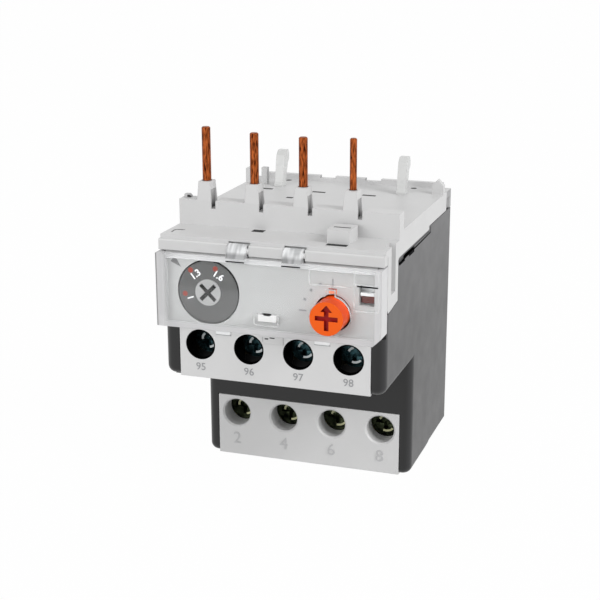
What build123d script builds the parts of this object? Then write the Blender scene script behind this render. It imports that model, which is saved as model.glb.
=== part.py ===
# Thermal overload relay that plugs under a contactor, 45 mm wide. Sizes in millimetres.
# Frame: X across the front (right positive), Y from front to back, Z up.
# The origin is the middle of the outline in plan, at the height of the foot.

import os
from math import cos, radians, sin

from build123d import *

os.makedirs("parts", exist_ok=True)

# Outline of the dark casing
width = 45.0
casing_depth = 53.0        # upper front face to back
cover_reach = 3.0          # clear cover in front of the upper face
button_reach = 2.2         # reset button in front of the clear cover
step_depth = 21.0          # lower front face behind the upper one
overhang_z = 24.8
front_rim_z = 36.1         # top of the casing's front, where the fascia starts
shoulder_depth = 1.2       # sides above that rim, behind the upper face
tongue_depth = 8.7         # side tongues of the top cover, behind the upper face
tongue_z = 41.6
tongue_slant = 0.7
casing_top_z = 49.4
rear_top_z = 50.5
rear_rise_depth = 33.4
foot_depth = 34.0
heel_depth = 38.0
heel_z = 1.5
wall = 1.8
corner_radius = 2.0
under_radius = 1.6
seam = 0.15                # gap between two shells

# Fits
running_gap = 0.06
slide_gap = 0.15
free_gap = 0.3

# Light terminal panels
aux_centre_x = 0.3
aux_side = 3.05            # casing beside the panel
aux_panel_thickness = 1.0
aux_hole_edge = 1.5        # panel beside its outer holes
aux_hole_radius = 2.85
aux_screw_z = 31.6
main_centre_x = 0.1
main_side = 2.5
main_panel_thickness = 2.0
main_panel_top_z = 13.34
main_pocket_side = 0.6     # block beside its outer pockets
main_hole_radius = 2.95
main_hole_chamfer = 0.35
main_screw_z = 9.5

# Terminals
poles = 4
pocket_width = 8.2
block_gap = 0.1
aux_head_radius = 2.7
aux_head_height = 2.2
aux_shank_radius = 1.75
aux_clamp_size = 6.4
aux_clamp_thickness = 1.2
aux_plate_thickness = 1.2
aux_plate_height = 6.4
aux_tip_length = 2.4
main_head_radius = 3.1
main_head_height = 2.6
main_shank_radius = 2.0
main_clamp_size = 7.2
main_clamp_thickness = 1.4
main_plate_thickness = 1.4
main_plate_height = 8.6
main_tip_length = 2.6
clamp_lip = 0.5
clamp_travel = 2.2
head_clearance = 0.8       # unscrewed head behind its panel
cross_width = 0.9
cross_reach = 0.7          # share of the head's radius
cross_depth = 1.2

# Terminal blocks
block_floor_thickness = 1.2
aux_block_depth = 12.8
aux_shelf_z = 35.9
aux_shelf_back = 17.0
main_block_depth = 11.8
main_ceiling_z = 15.6
partition_thickness = 1.2

# Top cover
cover_front_reach = 1.3    # lip in front of the upper face
fascia_back = 0.9
lip_z = 50.5
lip_step_z = 52.6
lip_step_reach = 0.3       # upper part of the lip in front of the upper face
lip_round = 0.3
ledge_z = 53.3
ledge_thickness = 1.3
ridge_depth = 9.0          # cross wall behind the upper face
ridge_back = 12.4
ridge_z = 58.3
tray_z = 54.7
tray_thickness = 1.5
skirt_thickness = 1.6
tower_z = 62.0
tower_half = 1.45
tower_draft = 0.25
notch_width = 0.95
notch_z = 56.7
tower_slot_z = 60.4        # pocket in a tower's right side
tower_slot_depth = 0.45
tower_slot_wall = 0.4

# Pins
first_pin_side = 5.3       # first pin inside the casing's left face
pin_pitch = 10.0
pin_depth = 10.8
line_pin_radius = 0.86
coil_pin_radius = 0.68
pin_shank_share = 0.64     # square shank inside its tower, of the pin's width
pin_tip_chamfer = 0.2
line_tip_heights = (72.6, 71.9, 71.6)
coil_tip_z = 71.9
strap_z = 48.2
strap_thickness = 1.0
strap_width = 3.6
coil_strap_width = 2.4
riser_gap = 1.0            # straps behind the rear slider
heater_lead_z = 33.0
heater_lead_height = 2.0

# Heaters and sliders
strip_depth = 38.0
strip_width = 5.0
strip_thickness = 0.8
strip_top_z = 43.0
tongue_bar_z = 5.9
tongue_bar_thickness = 1.2
tongue_bar_width = 3.6
winding_bottom_z = 12.0
winding_turns = 8
winding_pitch = 2.7
ribbon_height = 1.6
ribbon_thickness = 0.5
winding_gap = 0.35
slider_z = 40.5
slider_height = 3.0
slider_thickness = 1.2
slider_clear = 0.7
slider_travel = 2.5
tooth_width = 1.4
lag_travel = 1.2

# Levers between the sliders and the contacts
push_gap = 2.3             # differential lever beside the compensating strip
lever_z = 43.8
lever_thickness = 1.2
lever_half = 1.2
lever_front_depth = 28.5
lever_pin_radius = 0.6
trip_pivot_side = 8.7      # pivot inside the casing's right face
trip_pivot_depth = 22.0
trip_arm = 7.5
trip_front_arm = 5.4
trip_arm_half = 0.9
trip_hub_radius = 1.8
trip_pin_radius = 1.0
trip_lever_thickness = 2.0
compensator_thickness = 0.4

# Setting dial, cam and link
dial_side = 10.1           # dial inside the casing's left face
dial_z = 42.7
dial_radius = 6.15
dial_hole_radius = 6.35
dial_recess = 1.2
dial_thickness = 1.05
dial_set_back = 0.1
hub_radius = 2.0
boss_radius = 2.6
boss_height = 0.35
driver_slot_width = 0.8
driver_slot_reach = 2.1
driver_slot_depth = 0.9
cam_radius = 4.2
cam_rise = 0.6             # per radian
cam_sweep = 80.0
cam_thickness = 2.4
link_z = 45.8
link_height = 1.6
link_pad_half = 1.5
link_arm_width = 3.0

# Reset button
reset_side = 9.9           # button inside the casing's right face
reset_z = 40.95
button_radius = 3.25
button_hole_radius = 3.6
button_length = 6.0
button_stem_radius = 1.2
button_stem_length = 2.2
arrow_depth = 0.7
arrow_arm_half = 0.45
arrow_arm_reach = 2.2
arrow_foot_reach = 2.3
arrow_tip_reach = 2.6
arrow_head_half = 1.15
arrow_head_height = 1.3
plunger_radius = 2.4
plunger_flange_radius = 3.0
plunger_flange_thickness = 1.2
guide_depth = 6.0
guide_thickness = 1.2
guide_half = 3.0
reset_travel = 2.1
spring_wire_radius = 0.25
reset_spring_turns = 2

# Contact carrier, bridges and trip flag
carrier_depth = 13.2
carrier_thickness = 2.6
carrier_z = 38.4
carrier_height = 4.0
carrier_end = 1.0          # carrier past the opening bridge's tab
carrier_travel = 1.5
contact_arm_width = 2.4
contact_arm_end_depth = 12.4
contact_arm_thickness = 1.0
make_arm_shift = 1.4
contact_button_radius = 1.0
contact_button_height = 0.5
contact_button_depth = 11.4
break_pad_z = 39.0
bridge_thickness = 0.8
bridge_front_depth = 10.4
bridge_back_depth = 12.4
bridge_overhang = 1.1
guide_post_width = 2.0
guide_post_depth = 1.4
guide_post_half_gap = 2.9
guide_post_z = 44.6
trip_spring_gap = 2.4      # spring beside the left guide post
trip_spring_radius = 0.85
trip_spring_pocket = 3.2
trip_spring_turns = 3
flag_width = 2.7
flag_bottom_z = 43.2
flag_height = 1.5
flag_thickness = 1.2
flag_side = 3.3            # flag inside the casing's right face
flag_arm_width = 1.8
window_half_x = 1.5
window_bottom_z = 42.9
window_top_z = 46.9

# Clear cover
clear_wall = 1.0
clear_top_z = 50.2
clear_bottom_z = 35.7
clear_wrap_back = 1.0
clear_corner = 1.6
clear_rim_gap = 0.2        # cover's top rim in front of the lip
hinge_z = 51.4
hinge_depth = -0.9
hinge_barrel_radius = 1.35
hinge_pin_radius = 0.6
clip_half = 1.85
clip_xs = (-6.2, 5.0)
clip_slot_gap = 0.35
button_window_radius = 3.95
button_window_z = 40.75
keyhole_half = 0.9
keyhole_z = 45.8
latch_half_x = 2.1
latch_z = 39.0
latch_half_z = 0.9
latch_lug_reach = 1.6

# Tray details
hook_side = 8.7            # hooks inside the casing's faces
hook_depth = 44.0
hook_top_z = 62.4
hook_width = 1.9
hook_thickness = 2.0
hook_nose = 1.0
hook_lean = 1.2            # hook's top behind its foot
hook_foot = 3.0
hook_foot_height = 0.5
lug_width = 2.5            # gabled lug at the right
lug_peak_side = 1.3
lug_peak_z = 57.9
lug_shoulder_z = 56.6
lug_length = 3.3
lug_thickness = 1.5
rear_corner_length = 4.2
post_width = 1.1           # post and stud at the left
post_z = 57.8
stud_side = 4.6
stud_size = 1.3
stud_z = 58.3
rear_corner_recess = 0.5
rear_wall_thickness = 1.3
rear_wall_z = 55.9
rear_notch_depth = 0.55
rear_notch_width = 3.6
rear_notch_xs = (-5.3, 5.2)
tray_slot_depth = 40.0
tray_slot_width = 3.0
tray_slot_thickness = 1.2
tray_slot_xs = (-15.6, -3.6, 7.6)
small_slot_x = -7.7
small_slot_depth = 32.7
tray_hole_depth = 50.4
tray_hole_sides = (8.4, 7.7)
tray_hole_radius = 0.7
ledge_hole_x = -5.4
ledge_hole_depth = 7.8
ledge_hole_size = (2.5, 2.0)
ledge_block_side = 10.1
ledge_block_half = 2.2
ledge_block_front = 2.6
ledge_block_back = 8.0
ledge_block_z = 55.9
ledge_slot_front = 1.0
ledge_block_slot = (3.4, 0.7)
ledge_block_slot_depth = 0.6
side_slot_front = 3.6
side_slot_back = 6.6
side_slot_z = 44.0
side_slot_cut = 1.3
ledge_slit_side = 1.9
ledge_slit_depth = 4.0
ledge_slit_length = 2.0
ledge_slit_width = 0.35
cover_tab_depths = (9.6, 17.0)
cover_tab_length = 3.6
cover_tab_drop = 0.9
cover_tab_gap = 0.3

# Places that follow from the sizes above
half = width / 2
inner_half = half - wall
block_half = inner_half - block_gap
aux_half = half - aux_side
main_half = half - main_side
aux_pitch = 2 * (aux_half - aux_hole_edge - aux_hole_radius) / (poles - 1)
main_pitch = (2 * (block_half - main_pocket_side) - pocket_width) / (poles - 1)
dial_x = -half + dial_side
reset_x = half - reset_side
flag_x = half - flag_side
ledge_block_x = half - ledge_block_side
ledge_slit_x = -half + ledge_slit_side
lug_back = casing_depth - rear_corner_length
lug_depth = lug_back - lug_length
hook_xs = (-half + hook_side, half - hook_side)
tray_hole_xs = (-half + tray_hole_sides[0], half - tray_hole_sides[1])
trip_pivot_x = half - trip_pivot_side
lever_x = trip_pivot_x - trip_arm_half - compensator_thickness - push_gap - lever_half
guide_post_xs = (aux_centre_x - guide_post_half_gap, aux_centre_x + guide_post_half_gap)
trip_spring_x = guide_post_xs[0] - guide_post_width / 2 - slide_gap - trip_spring_radius - trip_spring_gap
back_y = (casing_depth + cover_reach + button_reach) / 2
face_y = back_y - casing_depth
step_y = face_y + step_depth
aux_back_y = face_y + aux_block_depth
main_front_y = step_y + main_panel_thickness
main_back_y = step_y + main_block_depth
inner_back_y = back_y - wall
cavity_floor_z = heel_z + wall
shelf_top_z = aux_shelf_z + block_floor_thickness
ceiling_top_z = main_ceiling_z + block_floor_thickness
fascia_back_y = face_y + fascia_back
fascia_front_y = face_y - cover_front_reach + free_gap
fascia_half = half - clear_wall - free_gap
pin_y = face_y + pin_depth
pin_xs = [-half + first_pin_side + pin_pitch * number for number in range(poles)]
pole_steps = [number - (poles - 1) / 2 for number in range(poles)]
aux_xs = [aux_centre_x + aux_pitch * step for step in pole_steps]
main_xs = [main_centre_x + main_pitch * step for step in pole_steps]
carrier_left_x = (aux_xs[0] + aux_xs[1] - contact_arm_width) / 2 - carrier_end
aux_head_depth = aux_panel_thickness + clamp_travel + head_clearance
main_head_depth = main_panel_thickness + clamp_travel + head_clearance
aux_clamp_y = face_y + aux_head_depth + aux_head_height
aux_plate_y = aux_clamp_y + aux_clamp_thickness
aux_plate_back_y = aux_plate_y + aux_plate_thickness
main_clamp_y = step_y + main_head_depth + main_head_height
main_plate_y = main_clamp_y + main_clamp_thickness
strip_y = face_y + strip_depth
slider_front_y = strip_y - strip_width / 2 - slider_clear - slider_thickness
slider_rear_y = strip_y + strip_width / 2 + slider_clear
riser_y = slider_rear_y + slider_thickness + riser_gap
carrier_y = face_y + carrier_depth
make_pad_z = break_pad_z + contact_arm_thickness + 2 * contact_button_height + carrier_travel
make_bridge_z = make_pad_z - carrier_travel - 2 * contact_button_height - bridge_thickness
break_bridge_z = break_pad_z + contact_arm_thickness + 2 * contact_button_height
tower_base_z = ridge_z
line_shank = 2 * pin_shank_share * line_pin_radius
coil_shank = 2 * pin_shank_share * coil_pin_radius
slider_left_x = -(inner_half - lag_travel - free_gap)
slider_right_x = trip_pivot_x - slider_travel - free_gap
plunger_end_depth = bridge_front_depth - reset_travel - free_gap


def save(piece, name):
    piece.part.label = name
    export_step(piece.part, f"parts/{name}.step")


def facing(y):
    """A plane that faces the front at this depth: X across, Z up. Extruding by minus goes back."""
    return Plane.XZ.offset(-y)


def slab(x_span, y_span, z_span, mode=Mode.ADD):
    """A rectangular block between two limits on each axis."""
    spans = (x_span, y_span, z_span)
    middle = tuple((low + high) / 2 for low, high in spans)
    with Locations(middle):
        Box(*(high - low for low, high in spans), mode=mode)


def round_bar(x, z, radius, y_span, mode=Mode.ADD):
    """A round bar along Y."""
    with Locations((x, sum(y_span) / 2, z)):
        Cylinder(radius, y_span[1] - y_span[0], rotation=(90, 0, 0), mode=mode)


# Dark casing: a stepped shell, open at the top and in front
with BuildPart() as base_casing:
    with BuildSketch(Plane.YZ):
        with BuildLine():
            Polyline(
                (face_y, overhang_z),
                (face_y, front_rim_z),
                (face_y + shoulder_depth, front_rim_z),
                (face_y + shoulder_depth, tongue_z - tongue_slant - seam),
                (face_y + tongue_depth, tongue_z - seam),
                (face_y + tongue_depth, casing_top_z),
                (face_y + rear_rise_depth, casing_top_z),
                (face_y + rear_rise_depth, rear_top_z),
                (back_y, rear_top_z),
                (back_y, heel_z),
                (face_y + heel_depth, heel_z),
                (face_y + foot_depth, 0),
                (step_y, 0),
                (step_y, overhang_z),
                close=True,
            )
        make_face()
    extrude(amount=half, both=True)
    upright = base_casing.edges().filter_by(Axis.Z)
    front_corners = upright.filter_by_position(Axis.Y, face_y - seam, face_y + seam)
    step_corners = upright.filter_by_position(Axis.Y, step_y - seam, step_y + seam)
    fillet(front_corners + step_corners, radius=corner_radius)
    along_depth = base_casing.edges().filter_by(Axis.Y)
    under_edges = along_depth.filter_by_position(Axis.Z, overhang_z - seam, overhang_z + seam)
    foot_edges = along_depth.filter_by_position(Axis.Z, -seam, seam)
    fillet(under_edges + foot_edges, radius=under_radius)
    with BuildSketch(Plane.YZ):
        with BuildLine():
            Polyline(
                (face_y - wall, shelf_top_z),
                (aux_back_y, shelf_top_z),
                (aux_back_y, overhang_z + wall),
                (step_y + wall, overhang_z + wall),
                (step_y + wall, ceiling_top_z),
                (main_back_y, ceiling_top_z),
                (main_back_y, cavity_floor_z),
                (inner_back_y, cavity_floor_z),
                (inner_back_y, rear_top_z + wall),
                (face_y - wall, rear_top_z + wall),
                close=True,
            )
        make_face()
    extrude(amount=inner_half, both=True, mode=Mode.SUBTRACT)
    slab(
        (aux_centre_x - aux_half - seam, aux_centre_x + aux_half + seam),
        (face_y - wall, face_y + aux_panel_thickness),
        (overhang_z - wall, shelf_top_z),
        Mode.SUBTRACT,
    )
    slab(
        (-inner_half, inner_half),
        (face_y + aux_panel_thickness, aux_back_y),
        (overhang_z - wall, shelf_top_z),
        Mode.SUBTRACT,
    )
    slab(
        (main_centre_x - main_half - seam, main_centre_x + main_half + seam),
        (step_y - wall, main_front_y),
        (-wall, main_panel_top_z + seam),
        Mode.SUBTRACT,
    )
    slab(
        (-inner_half, inner_half),
        (main_front_y, main_back_y),
        (-wall, ceiling_top_z),
        Mode.SUBTRACT,
    )
    for left_pin_x, right_pin_x in zip(pin_xs, pin_xs[1:]):
        partition_x = (left_pin_x + right_pin_x) / 2
        slab(
            (partition_x - partition_thickness / 2, partition_x + partition_thickness / 2),
            (main_back_y + main_plate_thickness + free_gap, inner_back_y),
            (cavity_floor_z, slider_z - slide_gap),
        )
    for tab_depth in cover_tab_depths:
        slab(
            (-half - seam, half + seam),
            (face_y + tab_depth - cover_tab_gap, face_y + tab_depth + cover_tab_length + cover_tab_gap),
            (casing_top_z - cover_tab_drop - cover_tab_gap, casing_top_z + wall),
            Mode.SUBTRACT,
        )
save(base_casing, "base_casing")

# Auxiliary terminal block: four pockets open below, a shelf with the reset guide and two posts
with BuildPart() as aux_terminal_block:
    slab(
        (-block_half, block_half),
        (face_y + aux_panel_thickness, aux_back_y),
        (overhang_z, shelf_top_z),
    )
    slab(
        (-block_half, block_half),
        (aux_back_y, face_y + aux_shelf_back),
        (aux_shelf_z, shelf_top_z),
    )
    for x in aux_xs:
        slab(
            (x - pocket_width / 2, x + pocket_width / 2),
            (face_y + aux_panel_thickness, aux_plate_back_y),
            (overhang_z, aux_shelf_z),
            Mode.SUBTRACT,
        )
        round_bar(
            x,
            aux_screw_z,
            aux_shank_radius + free_gap,
            (aux_plate_back_y, aux_plate_back_y + aux_tip_length + free_gap),
            Mode.SUBTRACT,
        )
    for x in (aux_xs[0], aux_xs[1], aux_xs[2], aux_xs[3] + make_arm_shift):
        slab(
            (x - contact_arm_width / 2 - slide_gap, x + contact_arm_width / 2 + slide_gap),
            (aux_plate_y - slide_gap, aux_plate_back_y + slide_gap),
            (aux_shelf_z, shelf_top_z),
            Mode.SUBTRACT,
        )
    with BuildSketch(facing(face_y + guide_depth)):
        with Locations((reset_x, (shelf_top_z + reset_z) / 2)):
            Rectangle(2 * guide_half, reset_z - shelf_top_z)
        with Locations((reset_x, reset_z)):
            Circle(guide_half)
            Circle(plunger_radius + running_gap, mode=Mode.SUBTRACT)
    extrude(amount=-guide_thickness)
    for x in guide_post_xs:
        slab(
            (x - guide_post_width / 2, x + guide_post_width / 2),
            (
                carrier_y + (carrier_thickness - guide_post_depth) / 2,
                carrier_y + (carrier_thickness + guide_post_depth) / 2,
            ),
            (shelf_top_z, guide_post_z),
        )
save(aux_terminal_block, "aux_terminal_block")

# Main terminal block: four pockets open below and in front
with BuildPart() as main_terminal_block:
    slab((-block_half, block_half), (main_front_y, main_back_y), (0, ceiling_top_z))
    for x in main_xs:
        slab(
            (x - pocket_width / 2, x + pocket_width / 2),
            (main_front_y, main_plate_y + main_plate_thickness),
            (0, main_ceiling_z),
            Mode.SUBTRACT,
        )
        round_bar(
            x,
            main_screw_z,
            main_shank_radius + free_gap,
            (main_plate_y + main_plate_thickness, main_back_y),
            Mode.SUBTRACT,
        )
        slab(
            (x - pocket_width / 2, x + pocket_width / 2),
            (main_plate_y + main_plate_thickness, main_back_y),
            (tongue_bar_z - slide_gap, tongue_bar_z + tongue_bar_thickness + slide_gap),
            Mode.SUBTRACT,
        )
save(main_terminal_block, "main_terminal_block")

# Light panels with the screwdriver holes
with BuildPart() as aux_terminal_panel:
    with BuildSketch(facing(face_y)):
        with Locations((aux_centre_x, (overhang_z + front_rim_z) / 2)):
            Rectangle(2 * aux_half, front_rim_z - overhang_z)
        for x in aux_xs:
            with Locations((x, aux_screw_z)):
                Circle(aux_hole_radius, mode=Mode.SUBTRACT)
    extrude(amount=-aux_panel_thickness)
save(aux_terminal_panel, "aux_terminal_panel")

with BuildPart() as main_terminal_panel:
    with BuildSketch(facing(step_y)):
        with Locations((main_centre_x, main_panel_top_z / 2)):
            Rectangle(2 * main_half, main_panel_top_z)
        for x in main_xs:
            with Locations((x, main_screw_z)):
                Circle(main_hole_radius, mode=Mode.SUBTRACT)
    extrude(amount=-main_panel_thickness)
    mouths = main_terminal_panel.edges().filter_by(GeomType.CIRCLE).group_by(Axis.Y)[0]
    chamfer(mouths, length=main_hole_chamfer)
save(main_terminal_panel, "main_terminal_panel")

# Top cover: front lip, ledge, cross wall with pin towers, tray and side tongues
with BuildPart() as top_cover:
    with BuildSketch(Plane.YZ):
        with BuildLine():
            Polyline(
                (face_y - cover_front_reach, lip_z),
                (face_y - cover_front_reach, lip_step_z),
                (face_y - lip_step_reach, lip_step_z),
                (face_y - lip_step_reach, ledge_z),
                (face_y + ridge_depth, ledge_z),
                (face_y + ridge_depth, ridge_z),
                (face_y + ridge_back, ridge_z),
                (face_y + ridge_back, tray_z),
                (back_y, tray_z),
                (back_y, rear_top_z + seam),
                (back_y - rear_wall_thickness, rear_top_z + seam),
                (back_y - rear_wall_thickness, tray_z - tray_thickness),
                (face_y + ridge_depth + ledge_thickness, tray_z - tray_thickness),
                (face_y + ridge_depth + ledge_thickness, ledge_z - ledge_thickness),
                (fascia_back_y, ledge_z - ledge_thickness),
                (fascia_back_y, lip_z),
                close=True,
            )
        make_face()
    extrude(amount=half, both=True)
    front_edge = top_cover.edges().filter_by(Axis.X).group_by(Axis.Y)[0].sort_by(Axis.Z)[-1]
    fillet(front_edge, radius=lip_round)
    for side in (-1, 1):
        with BuildSketch(Plane.YZ.offset(side * half)):
            with BuildLine():
                Polyline(
                    (face_y + shoulder_depth, tongue_z),
                    (face_y + shoulder_depth + tongue_slant, tongue_z - tongue_slant),
                    (face_y + tongue_depth - seam, tongue_z),
                    (face_y + tongue_depth - seam, casing_top_z + seam),
                    (face_y + rear_rise_depth - seam, casing_top_z + seam),
                    (face_y + rear_rise_depth - seam, rear_top_z + seam),
                    (face_y + lug_back, rear_top_z + seam),
                    (face_y + lug_back, tray_z - tray_thickness),
                    (face_y + ridge_depth, tray_z - tray_thickness),
                    (face_y + ridge_depth, ledge_z - ledge_thickness),
                    (face_y + shoulder_depth, ledge_z - ledge_thickness),
                    close=True,
                )
            make_face()
        extrude(amount=-side * skirt_thickness)
        for tab_depth in cover_tab_depths:
            slab(
                sorted((side * (half - seam), side * (half - skirt_thickness))),
                (face_y + tab_depth, face_y + tab_depth + cover_tab_length),
                (casing_top_z - cover_tab_drop, casing_top_z + wall),
            )
        slab(
            sorted((side * (half - rear_corner_recess), side * (half - skirt_thickness))),
            (face_y + lug_back, back_y - rear_wall_thickness),
            (rear_top_z + seam, tray_z - tray_thickness),
        )
    slab(
        (half - side_slot_cut, half + wall),
        (face_y + side_slot_front, face_y + side_slot_back),
        (side_slot_z, ledge_z + wall),
        Mode.SUBTRACT,
    )
    with BuildSketch(facing(face_y + lug_depth)):
        with BuildLine():
            Polyline(
                (half - lug_width, tray_z),
                (half - lug_width, lug_shoulder_z),
                (half - lug_peak_side, lug_peak_z),
                (half, lug_shoulder_z),
                (half, tray_z),
                close=True,
            )
        make_face()
    extrude(amount=-lug_thickness)
    slab(
        (-half, -half + post_width),
        (face_y + lug_depth, face_y + lug_back),
        (tray_z, post_z),
    )
    slab(
        (-half + stud_side - stud_size / 2, -half + stud_side + stud_size / 2),
        (face_y + lug_depth - stud_size / 2, face_y + lug_depth + stud_size / 2),
        (tray_z, stud_z),
    )
    for x in pin_xs:
        with BuildSketch(Plane.XY.offset(tower_base_z)):
            with Locations((x, (pin_y + face_y + ridge_depth + ridge_back - pin_depth) / 2)):
                Rectangle(2 * tower_half, ridge_back - ridge_depth)
        with BuildSketch(Plane.XY.offset(tower_z)):
            with Locations((x, (pin_y + face_y + ridge_depth + ridge_back - pin_depth) / 2)):
                Rectangle(2 * (tower_half - tower_draft), ridge_back - ridge_depth - 2 * tower_draft)
        loft()
        slab(
            (x + tower_half, x + tower_half + notch_width),
            (face_y + ridge_depth - wall, face_y + ridge_back + wall),
            (notch_z, tower_z),
            Mode.SUBTRACT,
        )
        slab(
            (x + tower_half - tower_slot_depth, x + tower_half + notch_width),
            (face_y + ridge_depth + tower_slot_wall, face_y + ridge_back - tower_slot_wall),
            (notch_z, tower_slot_z),
            Mode.SUBTRACT,
        )
    for x, radius in zip(pin_xs, 3 * [line_pin_radius] + [coil_pin_radius]):
        with BuildSketch(Plane.XY.offset(ledge_z - wall)):
            with Locations((x, pin_y)):
                Circle(radius + running_gap)
        extrude(amount=tower_z - ledge_z + 2 * wall, mode=Mode.SUBTRACT)
    slab(
        (-half + skirt_thickness, half - skirt_thickness),
        (back_y - rear_wall_thickness, back_y),
        (tray_z, rear_wall_z),
    )
    for x in rear_notch_xs:
        slab(
            (x - rear_notch_width / 2, x + rear_notch_width / 2),
            (back_y - rear_wall_thickness, back_y),
            (rear_wall_z - rear_notch_depth, rear_wall_z),
            Mode.SUBTRACT,
        )
    with BuildSketch(Plane.XY.offset(tray_z)):
        for x in tray_slot_xs:
            with Locations((x, face_y + tray_slot_depth)):
                Rectangle(tray_slot_width, tray_slot_thickness)
        with Locations((small_slot_x, face_y + small_slot_depth)):
            Rectangle(tray_slot_width / 2, tray_slot_thickness)
        for x in tray_hole_xs:
            with Locations((x, face_y + tray_hole_depth)):
                Circle(tray_hole_radius)
    extrude(amount=-tray_thickness, mode=Mode.SUBTRACT)
    slab(
        (ledge_block_x - ledge_block_half, ledge_block_x + ledge_block_half),
        (face_y + ledge_block_front, face_y + ledge_block_back),
        (ledge_z, ledge_block_z),
    )
    with BuildSketch(Plane.XY.offset(ledge_block_z)):
        with Locations((ledge_block_x, face_y + (ledge_block_front + ledge_block_back) / 2)):
            Rectangle(*ledge_block_slot)
    extrude(amount=-ledge_block_slot_depth, mode=Mode.SUBTRACT)
    with BuildSketch(Plane.XY.offset(ledge_z)):
        with Locations((ledge_hole_x, face_y + ledge_hole_depth)):
            Rectangle(*ledge_hole_size)
        with Locations((ledge_block_x, face_y + (ledge_slot_front + ledge_block_front) / 2)):
            Rectangle(2 * ledge_block_half - 2 * seam, ledge_block_front - ledge_slot_front)
        with Locations((ledge_slit_x, face_y + ledge_slit_depth)):
            Rectangle(ledge_slit_length, ledge_slit_width)
    extrude(amount=-ledge_thickness, mode=Mode.SUBTRACT)
    for x in clip_xs:
        slab(
            (x - clip_half - clip_slot_gap, x + clip_half + clip_slot_gap),
            (face_y - cover_front_reach, fascia_back_y),
            (lip_z, hinge_z + hinge_barrel_radius + slide_gap),
            Mode.SUBTRACT,
        )
        with BuildSketch(Plane.YZ.offset(x - clip_half - clip_slot_gap)):
            with Locations((face_y + hinge_depth, hinge_z)):
                Circle(hinge_pin_radius)
        extrude(amount=2 * (clip_half + clip_slot_gap))
save(top_cover, "top_cover")

# Fascia behind the clear cover, with the dial seat, the button hole, the flag window and the latch lug
with BuildPart() as front_cover:
    with BuildSketch(facing(fascia_front_y)):
        with Locations((0, (front_rim_z + lip_z) / 2)):
            Rectangle(2 * fascia_half, lip_z - front_rim_z - 2 * seam)
        with Locations((reset_x, reset_z)):
            Circle(button_hole_radius, mode=Mode.SUBTRACT)
        with Locations((flag_x, (window_bottom_z + window_top_z) / 2)):
            Rectangle(2 * window_half_x, window_top_z - window_bottom_z, mode=Mode.SUBTRACT)
    extrude(amount=fascia_front_y - fascia_back_y)
    round_bar(
        dial_x, dial_z, dial_hole_radius, (fascia_front_y, fascia_front_y + dial_recess), Mode.SUBTRACT
    )
    round_bar(dial_x, dial_z, hub_radius + running_gap, (fascia_front_y, fascia_back_y), Mode.SUBTRACT)
    for x in clip_xs:
        slab(
            (x - clip_half - clip_slot_gap, x + clip_half + clip_slot_gap),
            (fascia_front_y, fascia_back_y),
            (hinge_z - hinge_barrel_radius - free_gap, lip_z),
            Mode.SUBTRACT,
        )
    slab(
        (-latch_half_x + free_gap, latch_half_x - free_gap),
        (fascia_front_y - latch_lug_reach, fascia_front_y),
        (latch_z - latch_half_z + free_gap, latch_z + latch_half_z - free_gap),
    )
save(front_cover, "front_cover")

# Clear cover that swings up on two clips
with BuildPart() as clear_cover:
    clear_front_y = face_y - cover_reach
    with BuildSketch(facing(clear_front_y)):
        with BuildLine():
            Polyline(
                (-half, clear_bottom_z),
                (half - clear_corner, clear_bottom_z),
                (half, clear_bottom_z + clear_corner),
                (half, clear_top_z),
                (-half, clear_top_z),
                close=True,
            )
        make_face()
        with Locations((reset_x, button_window_z)):
            Circle(button_window_radius, mode=Mode.SUBTRACT)
        with Locations((reset_x, (button_window_z + keyhole_z) / 2)):
            Rectangle(2 * keyhole_half, keyhole_z - button_window_z, mode=Mode.SUBTRACT)
        with Locations((0, latch_z)):
            Rectangle(2 * latch_half_x, 2 * latch_half_z, mode=Mode.SUBTRACT)
    extrude(amount=-clear_wall)
    for side in (-1, 1):
        slab(
            sorted((side * half, side * (half - clear_wall))),
            (clear_front_y + clear_wall, face_y + clear_wrap_back),
            (clear_bottom_z + clear_corner, clear_top_z),
        )
    slab(
        (-half + clear_wall, half - clear_wall),
        (clear_front_y + clear_wall, face_y - cover_front_reach - clear_rim_gap),
        (clear_top_z - clear_wall, clear_top_z),
    )
    for x in clip_xs:
        with BuildSketch(Plane.YZ.offset(x - clip_half)):
            with Locations((face_y + hinge_depth, hinge_z)):
                Circle(hinge_barrel_radius)
            with BuildLine():
                Polyline(
                    (clear_front_y, clear_top_z - clear_wall),
                    (clear_front_y, clear_top_z),
                    (face_y + hinge_depth - hinge_barrel_radius, hinge_z + hinge_pin_radius),
                    (face_y + hinge_depth, hinge_z),
                    (face_y + hinge_depth - hinge_pin_radius, hinge_z - hinge_barrel_radius),
                    (clear_front_y + clear_wall, clear_top_z - clear_wall),
                    close=True,
                )
            make_face()
            with Locations((face_y + hinge_depth, hinge_z)):
                Circle(hinge_pin_radius + running_gap, mode=Mode.SUBTRACT)
        extrude(amount=2 * clip_half)
save(clear_cover, "clear_cover")

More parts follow.
